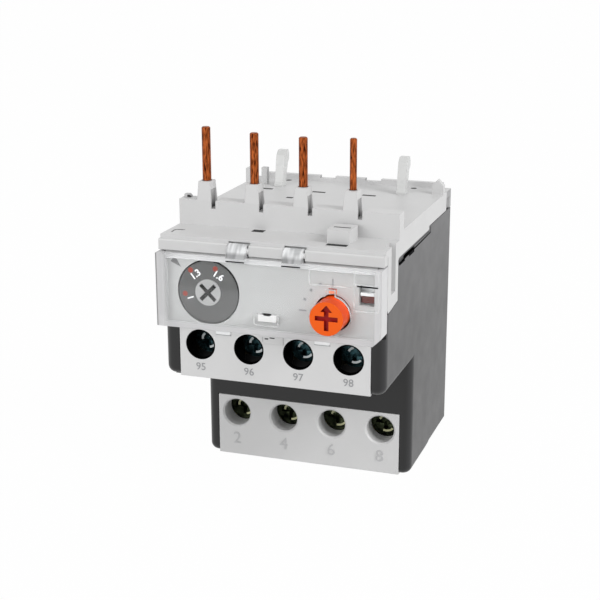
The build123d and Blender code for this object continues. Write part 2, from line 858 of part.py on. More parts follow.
# Hooks that hold the relay on the contactor
for name, x in zip(("mounting_hook_left", "mounting_hook_right"), hook_xs):
    with BuildPart() as hook:
        with BuildSketch(Plane.YZ.offset(x - hook_width / 2)):
            hook_y = face_y + hook_depth
            tip_y = hook_y + hook_lean
            with BuildLine():
                Polyline(
                    (hook_y - hook_foot / 2, tray_z),
                    (hook_y - hook_foot / 2, tray_z + hook_foot_height),
                    (hook_y - hook_thickness / 2, tray_z + 2 * hook_foot_height),
                    (tip_y - hook_thickness / 2, hook_top_z - hook_nose),
                    (tip_y, hook_top_z),
                    (tip_y + hook_thickness / 2 + hook_nose / 2, hook_top_z),
                    (tip_y + hook_thickness / 2 + hook_nose, hook_top_z - hook_nose),
                    (tip_y + hook_thickness / 2 + hook_nose, hook_top_z - 2 * hook_nose),
                    (tip_y + hook_thickness / 2, hook_top_z - 3 * hook_nose),
                    (hook_y + hook_thickness / 2, tray_z + 2 * hook_foot_height),
                    (hook_y + hook_foot / 2, tray_z + hook_foot_height),
                    (hook_y + hook_foot / 2, tray_z),
                    close=True,
                )
            make_face()
        extrude(amount=hook_width)
    save(hook, name)

# Copper pins, each with the strap that leads to its heater
for number, (x, tip_z) in enumerate(zip(pin_xs, line_tip_heights), start=1):
    with BuildPart() as line_pin:
        with BuildSketch(Plane.XY.offset(strap_z)):
            with Locations((x, pin_y)):
                Rectangle(line_shank, line_shank)
        extrude(amount=tower_z - strap_z)
        with BuildSketch(Plane.XY.offset(tower_z)):
            with Locations((x, pin_y)):
                Circle(line_pin_radius)
        extrude(amount=tip_z - tower_z)
        chamfer(line_pin.edges().filter_by(GeomType.CIRCLE).group_by(Axis.Z)[-1], length=pin_tip_chamfer)
        with BuildSketch(Plane.YZ.offset(x - strap_width / 2)):
            with BuildLine():
                Polyline(
                    (pin_y - line_pin_radius, strap_z),
                    (pin_y - line_pin_radius, strap_z + strap_thickness),
                    (riser_y + strap_thickness, strap_z + strap_thickness),
                    (riser_y + strap_thickness, heater_lead_z),
                    (riser_y, heater_lead_z),
                    (riser_y, strap_z),
                    close=True,
                )
            make_face()
        extrude(amount=strap_width)
    save(line_pin, f"line_pin_{number}")

with BuildPart() as coil_pin:
    coil_x = pin_xs[-1]
    with BuildSketch(Plane.XY.offset(strap_z)):
        with Locations((coil_x, pin_y)):
            Rectangle(coil_shank, coil_shank)
    extrude(amount=tower_z - strap_z)
    with BuildSketch(Plane.XY.offset(tower_z)):
        with Locations((coil_x, pin_y)):
            Circle(coil_pin_radius)
    extrude(amount=coil_tip_z - tower_z)
    chamfer(coil_pin.edges().filter_by(GeomType.CIRCLE).group_by(Axis.Z)[-1], length=pin_tip_chamfer)
    with BuildSketch(Plane.YZ.offset(coil_x - coil_strap_width / 2)):
        with BuildLine():
            Polyline(
                (pin_y - coil_pin_radius, strap_z),
                (pin_y - coil_pin_radius, strap_z + strap_thickness),
                (riser_y + strap_thickness, strap_z + strap_thickness),
                (riser_y + strap_thickness, tongue_bar_z + tongue_bar_thickness),
                (riser_y, tongue_bar_z + tongue_bar_thickness),
                (riser_y, strap_z),
                close=True,
            )
        make_face()
    extrude(amount=coil_strap_width)
save(coil_pin, "coil_pin")

# Bimetal strips, their heater windings and the bars that lead to the main terminals
ring_inner_x = strip_thickness / 2 + winding_gap
ring_inner_y = strip_width / 2 + winding_gap
for number, x in enumerate(pin_xs[:3], start=1):
    with BuildPart() as bimetal:
        slab(
            (x - strip_thickness / 2, x + strip_thickness / 2),
            (strip_y - strip_width / 2, strip_y + strip_width / 2),
            (tongue_bar_z + tongue_bar_thickness, strip_top_z),
        )
    save(bimetal, f"bimetal_{number}")

    with BuildPart() as heater_winding:
        for turn in range(winding_turns):
            with BuildSketch(Plane.XY.offset(winding_bottom_z + turn * winding_pitch)):
                with Locations((x, strip_y)):
                    Rectangle(2 * (ring_inner_x + ribbon_thickness), 2 * (ring_inner_y + ribbon_thickness))
                    Rectangle(2 * ring_inner_x, 2 * ring_inner_y, mode=Mode.SUBTRACT)
            extrude(amount=ribbon_height)
        slab(
            (x + ring_inner_x, x + ring_inner_x + ribbon_thickness),
            (strip_y - ribbon_height / 2, strip_y + ribbon_height / 2),
            (winding_bottom_z, winding_bottom_z + (winding_turns - 1) * winding_pitch),
        )
        slab(
            (x - ring_inner_x, x + ring_inner_x),
            (strip_y + ring_inner_y, riser_y),
            (heater_lead_z - heater_lead_height, heater_lead_z),
        )
        slab(
            (x - ring_inner_x, x + ring_inner_x),
            (riser_y - ribbon_thickness, riser_y),
            (heater_lead_z - heater_lead_height, heater_lead_z + heater_lead_height),
        )
    save(heater_winding, f"heater_winding_{number}")

for number, (plate_x, foot_x) in enumerate(zip(main_xs, pin_xs), start=1):
    bar_end_y = strip_y + strip_width / 2
    foot_half = tongue_bar_width / 2
    if number == poles:
        bar_end_y = riser_y + strap_thickness
        foot_half = coil_strap_width / 2
    with BuildPart() as main_bar:
        with BuildSketch(facing(main_plate_y)):
            with Locations((plate_x, tongue_bar_z + main_plate_height / 2)):
                Rectangle(main_clamp_size, main_plate_height)
            with Locations((plate_x, main_screw_z)):
                Circle(main_shank_radius + running_gap, mode=Mode.SUBTRACT)
        extrude(amount=-main_plate_thickness)
        with BuildSketch(Plane.XY.offset(tongue_bar_z)):
            with BuildLine():
                Polyline(
                    (plate_x - main_clamp_size / 2, main_plate_y),
                    (plate_x - main_clamp_size / 2, main_plate_y + main_plate_thickness),
                    (foot_x - foot_half, main_back_y + main_plate_thickness),
                    (foot_x - foot_half, bar_end_y),
                    (foot_x + foot_half, bar_end_y),
                    (foot_x + foot_half, main_back_y + main_plate_thickness),
                    (plate_x + main_clamp_size / 2, main_plate_y + main_plate_thickness),
                    (plate_x + main_clamp_size / 2, main_plate_y),
                    close=True,
                )
            make_face()
        extrude(amount=tongue_bar_thickness)
    save(main_bar, f"main_bar_{number}")


def terminal_screw(x, z, head_y, head_radius, head_height, shank_radius, tip_y):
    """A pan head with a crossed recess, and the shank through clamp and plate."""
    with BuildPart() as screw:
        round_bar(x, z, head_radius, (head_y, head_y + head_height))
        round_bar(x, z, shank_radius, (head_y + head_height, tip_y))
        with BuildSketch(facing(head_y)):
            with Locations((x, z)):
                Rectangle(2 * cross_reach * head_radius, cross_width)
                Rectangle(cross_width, 2 * cross_reach * head_radius)
        extrude(amount=-cross_depth, mode=Mode.SUBTRACT)
    return screw


def clamp_washer(x, z, y, size, thickness, bore):
    """A square saddle washer with two side lips that turn to the front."""
    with BuildPart() as washer:
        with BuildSketch(facing(y)):
            with Locations((x, z)):
                Rectangle(size, size)
                Circle(bore, mode=Mode.SUBTRACT)
        extrude(amount=-thickness)
        for side in (-1, 1):
            slab(
                sorted((x + side * size / 2, x + side * (size / 2 - clamp_lip / 2))),
                (y - clamp_lip, y),
                (z - size / 2, z + size / 2),
            )
    return washer


for number, x in enumerate(aux_xs, start=1):
    tip_y = aux_plate_back_y + aux_tip_length
    head_y = face_y + aux_head_depth
    save(
        terminal_screw(x, aux_screw_z, head_y, aux_head_radius, aux_head_height, aux_shank_radius, tip_y),
        f"aux_screw_{number}",
    )
    bore = aux_shank_radius + slide_gap
    save(
        clamp_washer(x, aux_screw_z, aux_clamp_y, aux_clamp_size, aux_clamp_thickness, bore),
        f"aux_clamp_{number}",
    )

for number, x in enumerate(main_xs, start=1):
    tip_y = main_plate_y + main_plate_thickness + main_tip_length
    head_y = step_y + main_head_depth
    save(
        terminal_screw(x, main_screw_z, head_y, main_head_radius, main_head_height, main_shank_radius, tip_y),
        f"main_screw_{number}",
    )
    bore = main_shank_radius + slide_gap
    save(
        clamp_washer(x, main_screw_z, main_clamp_y, main_clamp_size, main_clamp_thickness, bore),
        f"main_clamp_{number}",
    )

# Auxiliary terminal plates, each with the arm of its fixed contact
arm_shifts = (0, 0, 0, make_arm_shift)
pad_heights = (break_pad_z, break_pad_z, make_pad_z, make_pad_z)
for number, (x, shift, pad_z) in enumerate(zip(aux_xs, arm_shifts, pad_heights), start=1):
    closes = pad_z == make_pad_z
    with BuildPart() as aux_plate:
        with BuildSketch(facing(aux_plate_y)):
            with Locations((x, aux_screw_z)):
                Rectangle(aux_clamp_size, aux_plate_height)
            arm_bottom_z = aux_screw_z + aux_shank_radius
            with Locations((x + shift, (arm_bottom_z + pad_z + contact_arm_thickness) / 2)):
                Rectangle(contact_arm_width, pad_z + contact_arm_thickness - arm_bottom_z)
            with Locations((x, aux_screw_z)):
                Circle(aux_shank_radius + running_gap, mode=Mode.SUBTRACT)
        extrude(amount=-aux_plate_thickness)
        slab(
            (x + shift - contact_arm_width / 2, x + shift + contact_arm_width / 2),
            (aux_plate_y, face_y + contact_arm_end_depth),
            (pad_z, pad_z + contact_arm_thickness),
        )
        contact_z = pad_z - contact_button_height if closes else pad_z + contact_arm_thickness
        with BuildSketch(Plane.XY.offset(contact_z)):
            with Locations((x + shift, face_y + contact_button_depth)):
                Circle(contact_button_radius)
        extrude(amount=contact_button_height)
    save(aux_plate, f"aux_plate_{number}")

# Contact carrier: slides up on two posts, with the arm that holds the flag
with BuildPart() as contact_carrier:
    carrier_right_x = flag_x + flag_arm_width / 2
    slab(
        (carrier_left_x, carrier_right_x),
        (carrier_y, carrier_y + carrier_thickness),
        (carrier_z, carrier_z + carrier_height),
    )
    slab(
        (flag_x - flag_arm_width / 2, carrier_right_x),
        (fascia_back_y + free_gap, carrier_y),
        (carrier_z + carrier_height - link_height, carrier_z + carrier_height),
    )
    slab(
        (flag_x - flag_arm_width / 2, carrier_right_x),
        (fascia_back_y + free_gap, fascia_back_y + free_gap + flag_thickness),
        (carrier_z + carrier_height, flag_bottom_z + flag_height),
    )
    for x in guide_post_xs:
        slab(
            (x - guide_post_width / 2 - slide_gap, x + guide_post_width / 2 + slide_gap),
            (
                carrier_y + (carrier_thickness - guide_post_depth) / 2 - slide_gap,
                carrier_y + (carrier_thickness + guide_post_depth) / 2 + slide_gap,
            ),
            (carrier_z, carrier_z + carrier_height),
            Mode.SUBTRACT,
        )
    with BuildSketch(Plane.XY.offset(carrier_z)):
        with Locations((trip_spring_x, carrier_y + carrier_thickness / 2)):
            Circle(trip_spring_radius + spring_wire_radius + slide_gap / 2)
    extrude(amount=trip_spring_pocket, mode=Mode.SUBTRACT)
save(contact_carrier, "contact_carrier")


def bridge(x_left, x_right, z, contact_z):
    """A contact bridge with a round contact near each end, on a tab that enters the carrier's front."""
    middle = (x_left + x_right) / 2
    with BuildPart() as bar:
        with BuildSketch(Plane.XY.offset(z)):
            with Locations((middle, face_y + (bridge_front_depth + bridge_back_depth) / 2)):
                Rectangle(x_right - x_left + 2 * bridge_overhang, bridge_back_depth - bridge_front_depth)
            with Locations((middle, face_y + (bridge_back_depth + carrier_depth) / 2)):
                Rectangle(contact_arm_width, carrier_depth - bridge_back_depth)
        extrude(amount=bridge_thickness)
        with BuildSketch(Plane.XY.offset(contact_z)):
            with Locations(*((x, face_y + contact_button_depth) for x in (x_left, x_right))):
                Circle(contact_button_radius - seam)
        extrude(amount=contact_button_height)
    return bar


save(
    bridge(aux_xs[0], aux_xs[1], break_bridge_z, break_bridge_z - contact_button_height),
    "break_bridge",
)
save(
    bridge(aux_xs[2], aux_xs[3] + make_arm_shift, make_bridge_z, make_bridge_z + bridge_thickness),
    "make_bridge",
)

# Flag that shows a trip in the fascia's window
with BuildPart() as trip_flag:
    slab(
        (flag_x - flag_width / 2, flag_x + flag_width / 2),
        (fascia_back_y + free_gap - flag_thickness, fascia_back_y + free_gap),
        (flag_bottom_z, flag_bottom_z + flag_height),
    )
save(trip_flag, "trip_flag")


def coil_spring(start, direction, length, radius, turns):
    """A round wire wound at a constant pitch, with its ends inside the length."""
    wire_length = length - 2 * spring_wire_radius
    origin = Vector(*start) + Vector(*direction) * spring_wire_radius
    with BuildPart() as spring:
        with BuildLine():
            wire = Helix(wire_length / turns, wire_length, radius, center=origin, direction=direction)
        with BuildSketch(Plane(origin=wire @ 0, z_dir=wire % 0)):
            RegularPolygon(spring_wire_radius, side_count=4)
        sweep(is_frenet=True)
    return spring


# Springs behind the reset plunger's flange and under the carrier
flange_y = face_y + fascia_back + seam
reset_spring_y = flange_y + plunger_flange_thickness
reset_spring_length = face_y + guide_depth - reset_spring_y
reset_spring_radius = plunger_radius + spring_wire_radius + slide_gap
save(
    coil_spring(
        (reset_x, reset_spring_y, reset_z),
        (0, 1, 0),
        reset_spring_length,
        reset_spring_radius,
        reset_spring_turns,
    ),
    "reset_spring",
)
trip_spring_y = carrier_y + carrier_thickness / 2
save(
    coil_spring(
        (trip_spring_x, trip_spring_y, shelf_top_z),
        (0, 0, 1),
        carrier_z + trip_spring_pocket - shelf_top_z,
        trip_spring_radius,
        trip_spring_turns,
    ),
    "trip_spring",
)

# Reset plunger in its guide, and the orange button that turns on its end
button_y = face_y - cover_reach - button_reach
with BuildPart() as reset_plunger:
    round_bar(reset_x, reset_z, plunger_flange_radius, (flange_y, flange_y + plunger_flange_thickness))
    round_bar(reset_x, reset_z, plunger_radius, (flange_y, face_y + plunger_end_depth))
    round_bar(
        reset_x,
        reset_z,
        button_stem_radius + running_gap,
        (flange_y, button_y + button_length + button_stem_length + seam),
        Mode.SUBTRACT,
    )
save(reset_plunger, "reset_plunger")

with BuildPart() as reset_button:
    round_bar(reset_x, reset_z, button_radius, (button_y, button_y + button_length))
    round_bar(
        reset_x,
        reset_z,
        button_stem_radius,
        (button_y + button_length, button_y + button_length + button_stem_length),
    )
    with BuildSketch(facing(button_y)):
        with Locations((reset_x, reset_z)):
            Rectangle(2 * arrow_arm_reach, 2 * arrow_arm_half)
        with BuildLine():
            Polyline(
                (reset_x - arrow_arm_half, reset_z - arrow_foot_reach),
                (reset_x + arrow_arm_half, reset_z - arrow_foot_reach),
                (reset_x + arrow_arm_half, reset_z + arrow_tip_reach - arrow_head_height),
                (reset_x + arrow_head_half, reset_z + arrow_tip_reach - arrow_head_height),
                (reset_x, reset_z + arrow_tip_reach),
                (reset_x - arrow_head_half, reset_z + arrow_tip_reach - arrow_head_height),
                (reset_x - arrow_arm_half, reset_z + arrow_tip_reach - arrow_head_height),
                close=True,
            )
        make_face()
    extrude(amount=-arrow_depth, mode=Mode.SUBTRACT)
save(reset_button, "reset_button")

# Setting dial and its spiral cam
dial_y = fascia_front_y + dial_set_back
cam_y = fascia_back_y + free_gap
with BuildPart() as setting_dial:
    round_bar(dial_x, dial_z, dial_radius, (dial_y, dial_y + dial_thickness))
    round_bar(dial_x, dial_z, boss_radius, (dial_y - boss_height, dial_y))
    round_bar(dial_x, dial_z, hub_radius, (dial_y + dial_thickness, cam_y + cam_thickness))
    with BuildSketch(facing(dial_y - boss_height)):
        with Locations((dial_x, dial_z)):
            Rectangle(2 * driver_slot_reach, driver_slot_width, rotation=45)
            Rectangle(2 * driver_slot_reach, driver_slot_width, rotation=-45)
    extrude(amount=-driver_slot_depth, mode=Mode.SUBTRACT)
save(setting_dial, "setting_dial")

with BuildPart() as setting_cam:
    cam_angles = [cam_sweep * share / 4 for share in range(-4, 5)]
    spiral = [
        (
            dial_x + (cam_radius + cam_rise * radians(angle)) * cos(radians(angle)),
            dial_z + (cam_radius + cam_rise * radians(angle)) * sin(radians(angle)),
        )
        for angle in cam_angles
    ]
    with BuildSketch(facing(cam_y)):
        with BuildLine():
            Spline(*spiral)
            ThreePointArc(spiral[-1], (dial_x - hub_radius - wall, dial_z), spiral[0])
        make_face()
        with Locations((dial_x, dial_z)):
            Circle(hub_radius, mode=Mode.SUBTRACT)
    extrude(amount=-cam_thickness)
save(setting_cam, "setting_cam")

# Setting link: follows the cam and carries the trip lever's pivot
with BuildPart() as setting_link:
    link_left_x = dial_x + cam_radius + running_gap
    link_right_x = trip_pivot_x + link_arm_width / 2
    slab(
        (link_left_x, link_right_x),
        (cam_y, cam_y + cam_thickness),
        (link_z, link_z + link_height),
    )
    slab(
        (link_left_x, link_left_x + slider_thickness),
        (cam_y, cam_y + cam_thickness),
        (dial_z - link_pad_half, link_z),
    )
    slab(
        (trip_pivot_x - link_arm_width / 2, link_right_x),
        (cam_y + cam_thickness, face_y + trip_pivot_depth + link_arm_width / 2),
        (link_z, link_z + link_height),
    )
    trip_lever_z = link_z - slide_gap - trip_lever_thickness
    with BuildSketch(Plane.XY.offset(trip_lever_z - slide_gap)):
        with Locations((trip_pivot_x, face_y + trip_pivot_depth)):
            Circle(trip_pin_radius)
    extrude(amount=link_z - trip_lever_z + slide_gap)
save(setting_link, "setting_link")

with BuildPart() as trip_lever:
    trip_y = face_y + trip_pivot_depth
    with BuildSketch(Plane.XY.offset(trip_lever_z)):
        with Locations((trip_pivot_x, trip_y)):
            Circle(trip_hub_radius)
        with Locations((trip_pivot_x, trip_y + (trip_arm - trip_front_arm) / 2)):
            Rectangle(2 * trip_arm_half, trip_arm + trip_front_arm)
        with Locations((trip_pivot_x, trip_y)):
            Circle(trip_pin_radius + running_gap, mode=Mode.SUBTRACT)
    extrude(amount=trip_lever_thickness)
save(trip_lever, "trip_lever")

with BuildPart() as compensating_strip:
    slab(
        (trip_pivot_x - trip_arm_half - compensator_thickness, trip_pivot_x - trip_arm_half),
        (trip_y + trip_hub_radius, trip_y + trip_arm),
        (trip_lever_z, trip_lever_z + trip_lever_thickness),
    )
save(compensating_strip, "compensating_strip")


def slider(y_span, tooth_side, tooth_span):
    """A flat bar across the strips, with one tooth beside each strip and a pin for the lever."""
    slider_top_z = slider_z + slider_height
    pin_height = lever_z + lever_thickness - slider_top_z
    with BuildPart() as bar:
        slab((slider_left_x, slider_right_x), y_span, (slider_z, slider_top_z))
        for x in pin_xs[:3]:
            near = x + tooth_side * (strip_thickness / 2 + slide_gap)
            slab(
                sorted((near, near + tooth_side * tooth_width)),
                tooth_span,
                (slider_z, slider_top_z),
            )
        with Locations((lever_x, sum(y_span) / 2, slider_top_z + pin_height / 2)):
            Cylinder(lever_pin_radius - running_gap, pin_height)
    return bar


main_slider_span = (slider_front_y, slider_front_y + slider_thickness)
rear_slider_span = (slider_rear_y, slider_rear_y + slider_thickness)
main_pin_y = sum(main_slider_span) / 2
rear_pin_y = sum(rear_slider_span) / 2
save(slider(main_slider_span, 1, (main_slider_span[1], strip_y - slide_gap)), "main_slider")
save(slider(rear_slider_span, -1, (strip_y + slide_gap, rear_slider_span[0])), "differential_slider")

with BuildPart() as differential_lever:
    with BuildSketch(Plane.XY.offset(lever_z)):
        lever_front_y = face_y + lever_front_depth
        with Locations((lever_x, (lever_front_y + rear_pin_y) / 2)):
            SlotCenterToCenter(rear_pin_y - lever_front_y, 2 * lever_half, rotation=90)
        with Locations((lever_x, main_pin_y)):
            Circle(lever_pin_radius, mode=Mode.SUBTRACT)
        with Locations((lever_x, rear_pin_y)):
            SlotCenterToCenter(lever_pin_radius / 2, 2 * lever_pin_radius, rotation=90, mode=Mode.SUBTRACT)
    extrude(amount=lever_thickness)
save(differential_lever, "differential_lever")
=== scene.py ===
# %% [markdown]
# # Dressing a thermal overload relay
# The relay plugs under a motor contactor and trips when the motor draws too much current.
# Its shapes, joints and sizes come ready from the CAD model. This lesson adds what a camera
# sees on top of them: finishes, printed marks, small mouldings, light and a viewpoint.
# Everything is in metres, in the same frame as the CAD: X to the right, Y to the back, Z up.

import math

import bmesh
import bpy
from mathutils import Matrix, Vector


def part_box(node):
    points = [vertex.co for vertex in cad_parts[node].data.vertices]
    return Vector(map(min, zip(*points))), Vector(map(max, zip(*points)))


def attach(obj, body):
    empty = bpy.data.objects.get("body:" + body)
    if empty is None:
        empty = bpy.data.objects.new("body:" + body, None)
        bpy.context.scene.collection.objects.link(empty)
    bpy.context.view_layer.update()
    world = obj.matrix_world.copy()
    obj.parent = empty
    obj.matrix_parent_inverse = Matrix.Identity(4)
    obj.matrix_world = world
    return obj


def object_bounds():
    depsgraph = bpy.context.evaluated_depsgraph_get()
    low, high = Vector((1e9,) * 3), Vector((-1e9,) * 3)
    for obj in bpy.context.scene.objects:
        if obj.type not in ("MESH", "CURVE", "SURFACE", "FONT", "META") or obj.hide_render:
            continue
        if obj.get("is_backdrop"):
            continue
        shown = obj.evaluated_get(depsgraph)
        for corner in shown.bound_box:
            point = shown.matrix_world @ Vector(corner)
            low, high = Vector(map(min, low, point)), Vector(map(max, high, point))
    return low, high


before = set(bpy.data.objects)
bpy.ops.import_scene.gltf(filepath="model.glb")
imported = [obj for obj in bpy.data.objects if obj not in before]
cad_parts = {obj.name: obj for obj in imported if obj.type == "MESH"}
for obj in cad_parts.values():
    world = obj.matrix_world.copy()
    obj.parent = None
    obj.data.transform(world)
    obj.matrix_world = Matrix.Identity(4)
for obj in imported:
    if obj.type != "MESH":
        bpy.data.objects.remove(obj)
cad_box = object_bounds()
mm = 0.001
print("size in mm:", [round((high - low) / mm, 1) for low, high in zip(*cad_box)])

# %% [markdown]
# ## The planes that marks are laid on
# A mark that floats, or that sinks into its wall, gives a model away at once. So the depths
# of the walls are read from the CAD parts instead of being typed again.

# %% Read the depths of the walls
upper_panel_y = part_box("aux_terminal_panel")[0][1]
lower_panel_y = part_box("main_terminal_panel")[0][1]
cover_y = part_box("clear_cover")[0][1]
dial_low, dial_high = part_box("setting_dial")
button_low, button_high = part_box("reset_button")
dial_x = (dial_low[0] + dial_high[0]) / 2
dial_z = (dial_low[2] + dial_high[2]) / 2
boss_height = 0.35 * mm
dial_face_y = dial_low[1] + boss_height
button_x = (button_low[0] + button_high[0]) / 2
button_z = (button_low[2] + button_high[2]) / 2
print("dial centre in mm:", round(dial_x / mm, 2), round(dial_z / mm, 2))
print("button centre in mm:", round(button_x / mm, 2), round(button_z / mm, 2))

# %% [markdown]
# ## The viewpoint
# A product picture is taken from a little above and a little to one side, with a long lens,
# so that the upright edges stay nearly parallel. The lens and the distance go together:
# stepping closer with a wider lens would open the lines up.

# %% Place the camera
picture_width = 600
focal_pixels = 1327.22
shift_pixels = -12.763
camera_place = Vector((83.527, -250.694, 113.356)) * mm
camera_target = Vector((0, 1.1, 35)) * mm
lens_data = bpy.data.cameras.new("long_lens")
lens_data.sensor_width = 36
lens_data.lens = focal_pixels * lens_data.sensor_width / picture_width
lens_data.shift_x = shift_pixels / picture_width
lens_data.clip_start = 0.01
camera = bpy.data.objects.new("camera", lens_data)
camera.location = camera_place
camera.rotation_euler = (camera_target - camera_place).to_track_quat("-Z", "Y").to_euler()
bpy.context.scene.collection.objects.link(camera)
bpy.context.scene.camera = camera
print("lens:", round(lens_data.lens, 1), "mm")

# %% [markdown]
# ## Floor, room and lamps
# Small grey plastic things are pictured in a white tent. The tent does two jobs: it lights
# the relay softly from all sides, and it is what the glossy parts mirror. Here the room is
# the tent. One soft lamp from the upper right draws the edges, and a weak one fills the left.
# The floor shows white to the camera, and a share of plain paint keeps the contact shadow.

# %% Build the white tent
bpy.context.scene.view_settings.view_transform = "Standard"


def joined(tree, operation, first, second):
    """One value out of two."""
    node = tree.nodes.new("ShaderNodeMath")
    node.operation = operation
    tree.links.new(first, node.inputs[0])
    tree.links.new(second, node.inputs[1])
    return node.outputs[0]


def both(tree, first, second):
    return joined(tree, "MULTIPLY", first, second)


def larger(tree, first, second):
    return joined(tree, "MAXIMUM", first, second)


def seen_directly(tree):
    """1 where the eye, a mirror or a window looks, and 0 for the light that a surface gathers."""
    path = tree.nodes.new("ShaderNodeLightPath")
    total = path.outputs["Is Camera Ray"]
    for other in ("Is Glossy Ray", "Is Transmission Ray"):
        total = larger(tree, total, path.outputs[other])
    return total


def span(tree, source, low, high, from_low=0.0, from_high=1.0):
    """Stretches a value from one span to another."""
    stretch = tree.nodes.new("ShaderNodeMapRange")
    stretch.inputs["From Min"].default_value = from_low
    stretch.inputs["From Max"].default_value = from_high
    stretch.inputs["To Min"].default_value = low
    stretch.inputs["To Max"].default_value = high
    tree.links.new(source, stretch.inputs["Value"])
    return stretch.outputs["Result"]


room_light = 0.62
floor_grey = 0.62
floor_glow = 0.985
tent = bpy.data.worlds.new("white_tent")
tent.use_nodes = True
bpy.context.scene.world = tent
room = tent.node_tree
room_level = span(room, seen_directly(room), room_light, 1.0)
room.links.new(room_level, room.nodes["Background"].inputs["Strength"])
room.nodes["Background"].inputs["Color"].default_value = (1, 1, 1, 1)

floor_mesh = bpy.data.meshes.new("floor")
reach = 3.0
floor_mesh.from_pydata(
    [(-reach, -reach, 0), (reach, -reach, 0), (reach, reach, 0), (-reach, reach, 0)], [], [(0, 1, 2, 3)]
)
floor = bpy.data.objects.new("floor", floor_mesh)
bpy.context.scene.collection.objects.link(floor)
floor.location.z = -0.02 * mm
paper = bpy.data.materials.new("white_paper")
paper.use_nodes = True
sheet_tree = paper.node_tree
paint = sheet_tree.nodes["Principled BSDF"]
paint.inputs["Base Color"].default_value = (floor_grey, floor_grey, floor_grey, 1)
paint.inputs["Roughness"].default_value = 0.9
glow = sheet_tree.nodes.new("ShaderNodeEmission")
glow.inputs["Strength"].default_value = 1.0
blend_paper = sheet_tree.nodes.new("ShaderNodeMixShader")
sheet_tree.links.new(span(sheet_tree, seen_directly(sheet_tree), 0.0, floor_glow), blend_paper.inputs["Fac"])
sheet_tree.links.new(paint.outputs["BSDF"], blend_paper.inputs[1])
sheet_tree.links.new(glow.outputs["Emission"], blend_paper.inputs[2])
sheet_tree.links.new(blend_paper.outputs["Shader"], sheet_tree.nodes["Material Output"].inputs["Surface"])
floor_mesh.materials.append(paper)
floor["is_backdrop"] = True


def soft_lamp(name, place, size, power):
    """A square soft box that looks at the relay."""
    data = bpy.data.lights.new(name, "AREA")
    data.size = size
    data.energy = power
    lamp = bpy.data.objects.new(name, data)
    lamp.location = place
    lamp.rotation_euler = (camera_target - Vector(place)).to_track_quat("-Z", "Y").to_euler()
    bpy.context.scene.collection.objects.link(lamp)
    print(name, "at", [round(value, 2) for value in place], "with", power, "W")


soft_lamp("key_lamp", (0.6, -0.2, 0.42), 0.3, 2.9)
soft_lamp("fill_lamp", (-0.3, -0.65, 0.25), 0.4, 1.6)

# %% [markdown]
# ## Moulded plastic
# Moulded parts aren't flat in colour. The tool leaves a fine spark-eroded grain, the colour
# drifts a little from gate to far end, and corners that hands and screwdrivers touch are
# polished lighter. Textures could be painted on, but a grain made from noise keeps the same
# size on every part, because it reads the position in metres. A bevel in the shader rounds
# the hard CAD edges by a hair, which is what catches the light on the real mouldings.

# %% Helpers for finishes
def open_finish(finish):
    """A material's nodes and main shader, with the position in metres as the coordinate."""
    tree = finish.node_tree
    position = tree.nodes.new("ShaderNodeTexCoord").outputs["Object"]
    return tree, tree.nodes["Principled BSDF"], position


def start_finish(name):
    """A new material, and then what open_finish gives."""
    finish = bpy.data.materials.new(name)
    finish.use_nodes = True
    return finish, *open_finish(finish)


def along(tree, vector, axis):
    """One coordinate of a vector."""
    split = tree.nodes.new("ShaderNodeSeparateXYZ")
    tree.links.new(vector, split.inputs[0])
    return split.outputs[axis]


def facing(tree, axis):
    """How far the surface faces along an axis, from -1 to 1."""
    return along(tree, tree.nodes.new("ShaderNodeNewGeometry").outputs["True Normal"], axis)


def noise(tree, position, grain, detail=2.0, stretch=(1, 1, 1)):
    """Noise whose blobs are about grain metres wide, or longer along one axis."""
    scale = tree.nodes.new("ShaderNodeMapping")
    scale.inputs["Scale"].default_value = stretch
    pattern = tree.nodes.new("ShaderNodeTexNoise")
    pattern.inputs["Scale"].default_value = 1 / grain
    pattern.inputs["Detail"].default_value = detail
    tree.links.new(position, scale.inputs["Vector"])
    tree.links.new(scale.outputs["Vector"], pattern.inputs["Vector"])
    return pattern.outputs["Fac"]


def two_tone(tree, factor, first, second):
    """Mixes two colours by a factor. A colour may be a tuple or the result of another mix."""
    mix = tree.nodes.new("ShaderNodeMix")
    mix.data_type = "RGBA"
    tree.links.new(factor, mix.inputs["Factor"])
    for place, colour in ((6, first), (7, second)):
        if isinstance(colour, tuple):
            mix.inputs[place].default_value = (*colour, 1)
        else:
            tree.links.new(colour, mix.inputs[place])
    return mix.outputs[2]


def colour_by(tree, shader, tone):
    tree.links.new(tone, shader.inputs["Base Color"])


def tone_now(shader):
    """What colours the shader so far, so that another colour can be mixed in."""
    return shader.inputs["Base Color"].links[0].from_socket


def roughen(tree, shader, pattern, low, high):
    """Lets the roughness follow a pattern between two levels."""
    tree.links.new(span(tree, pattern, low, high), shader.inputs["Roughness"])


def rounded_normal(tree, radius):
    """The normal with rounded edges."""
    bevel = tree.nodes.new("ShaderNodeBevel")
    bevel.samples = 4
    bevel.inputs["Radius"].default_value = radius
    return bevel.outputs["Normal"]


def edge_mask(tree, normal):
    """1 on the rounded edges, where the normal leaves the flat face's own, and 0 elsewhere."""
    flat = tree.nodes.new("ShaderNodeNewGeometry")
    turn = tree.nodes.new("ShaderNodeVectorMath")
    turn.operation = "DOT_PRODUCT"
    tree.links.new(normal, turn.inputs[0])
    tree.links.new(flat.outputs["True Normal"], turn.inputs[1])
    return span(tree, turn.outputs["Value"], 1.0, 0.0, 0.75, 0.97)


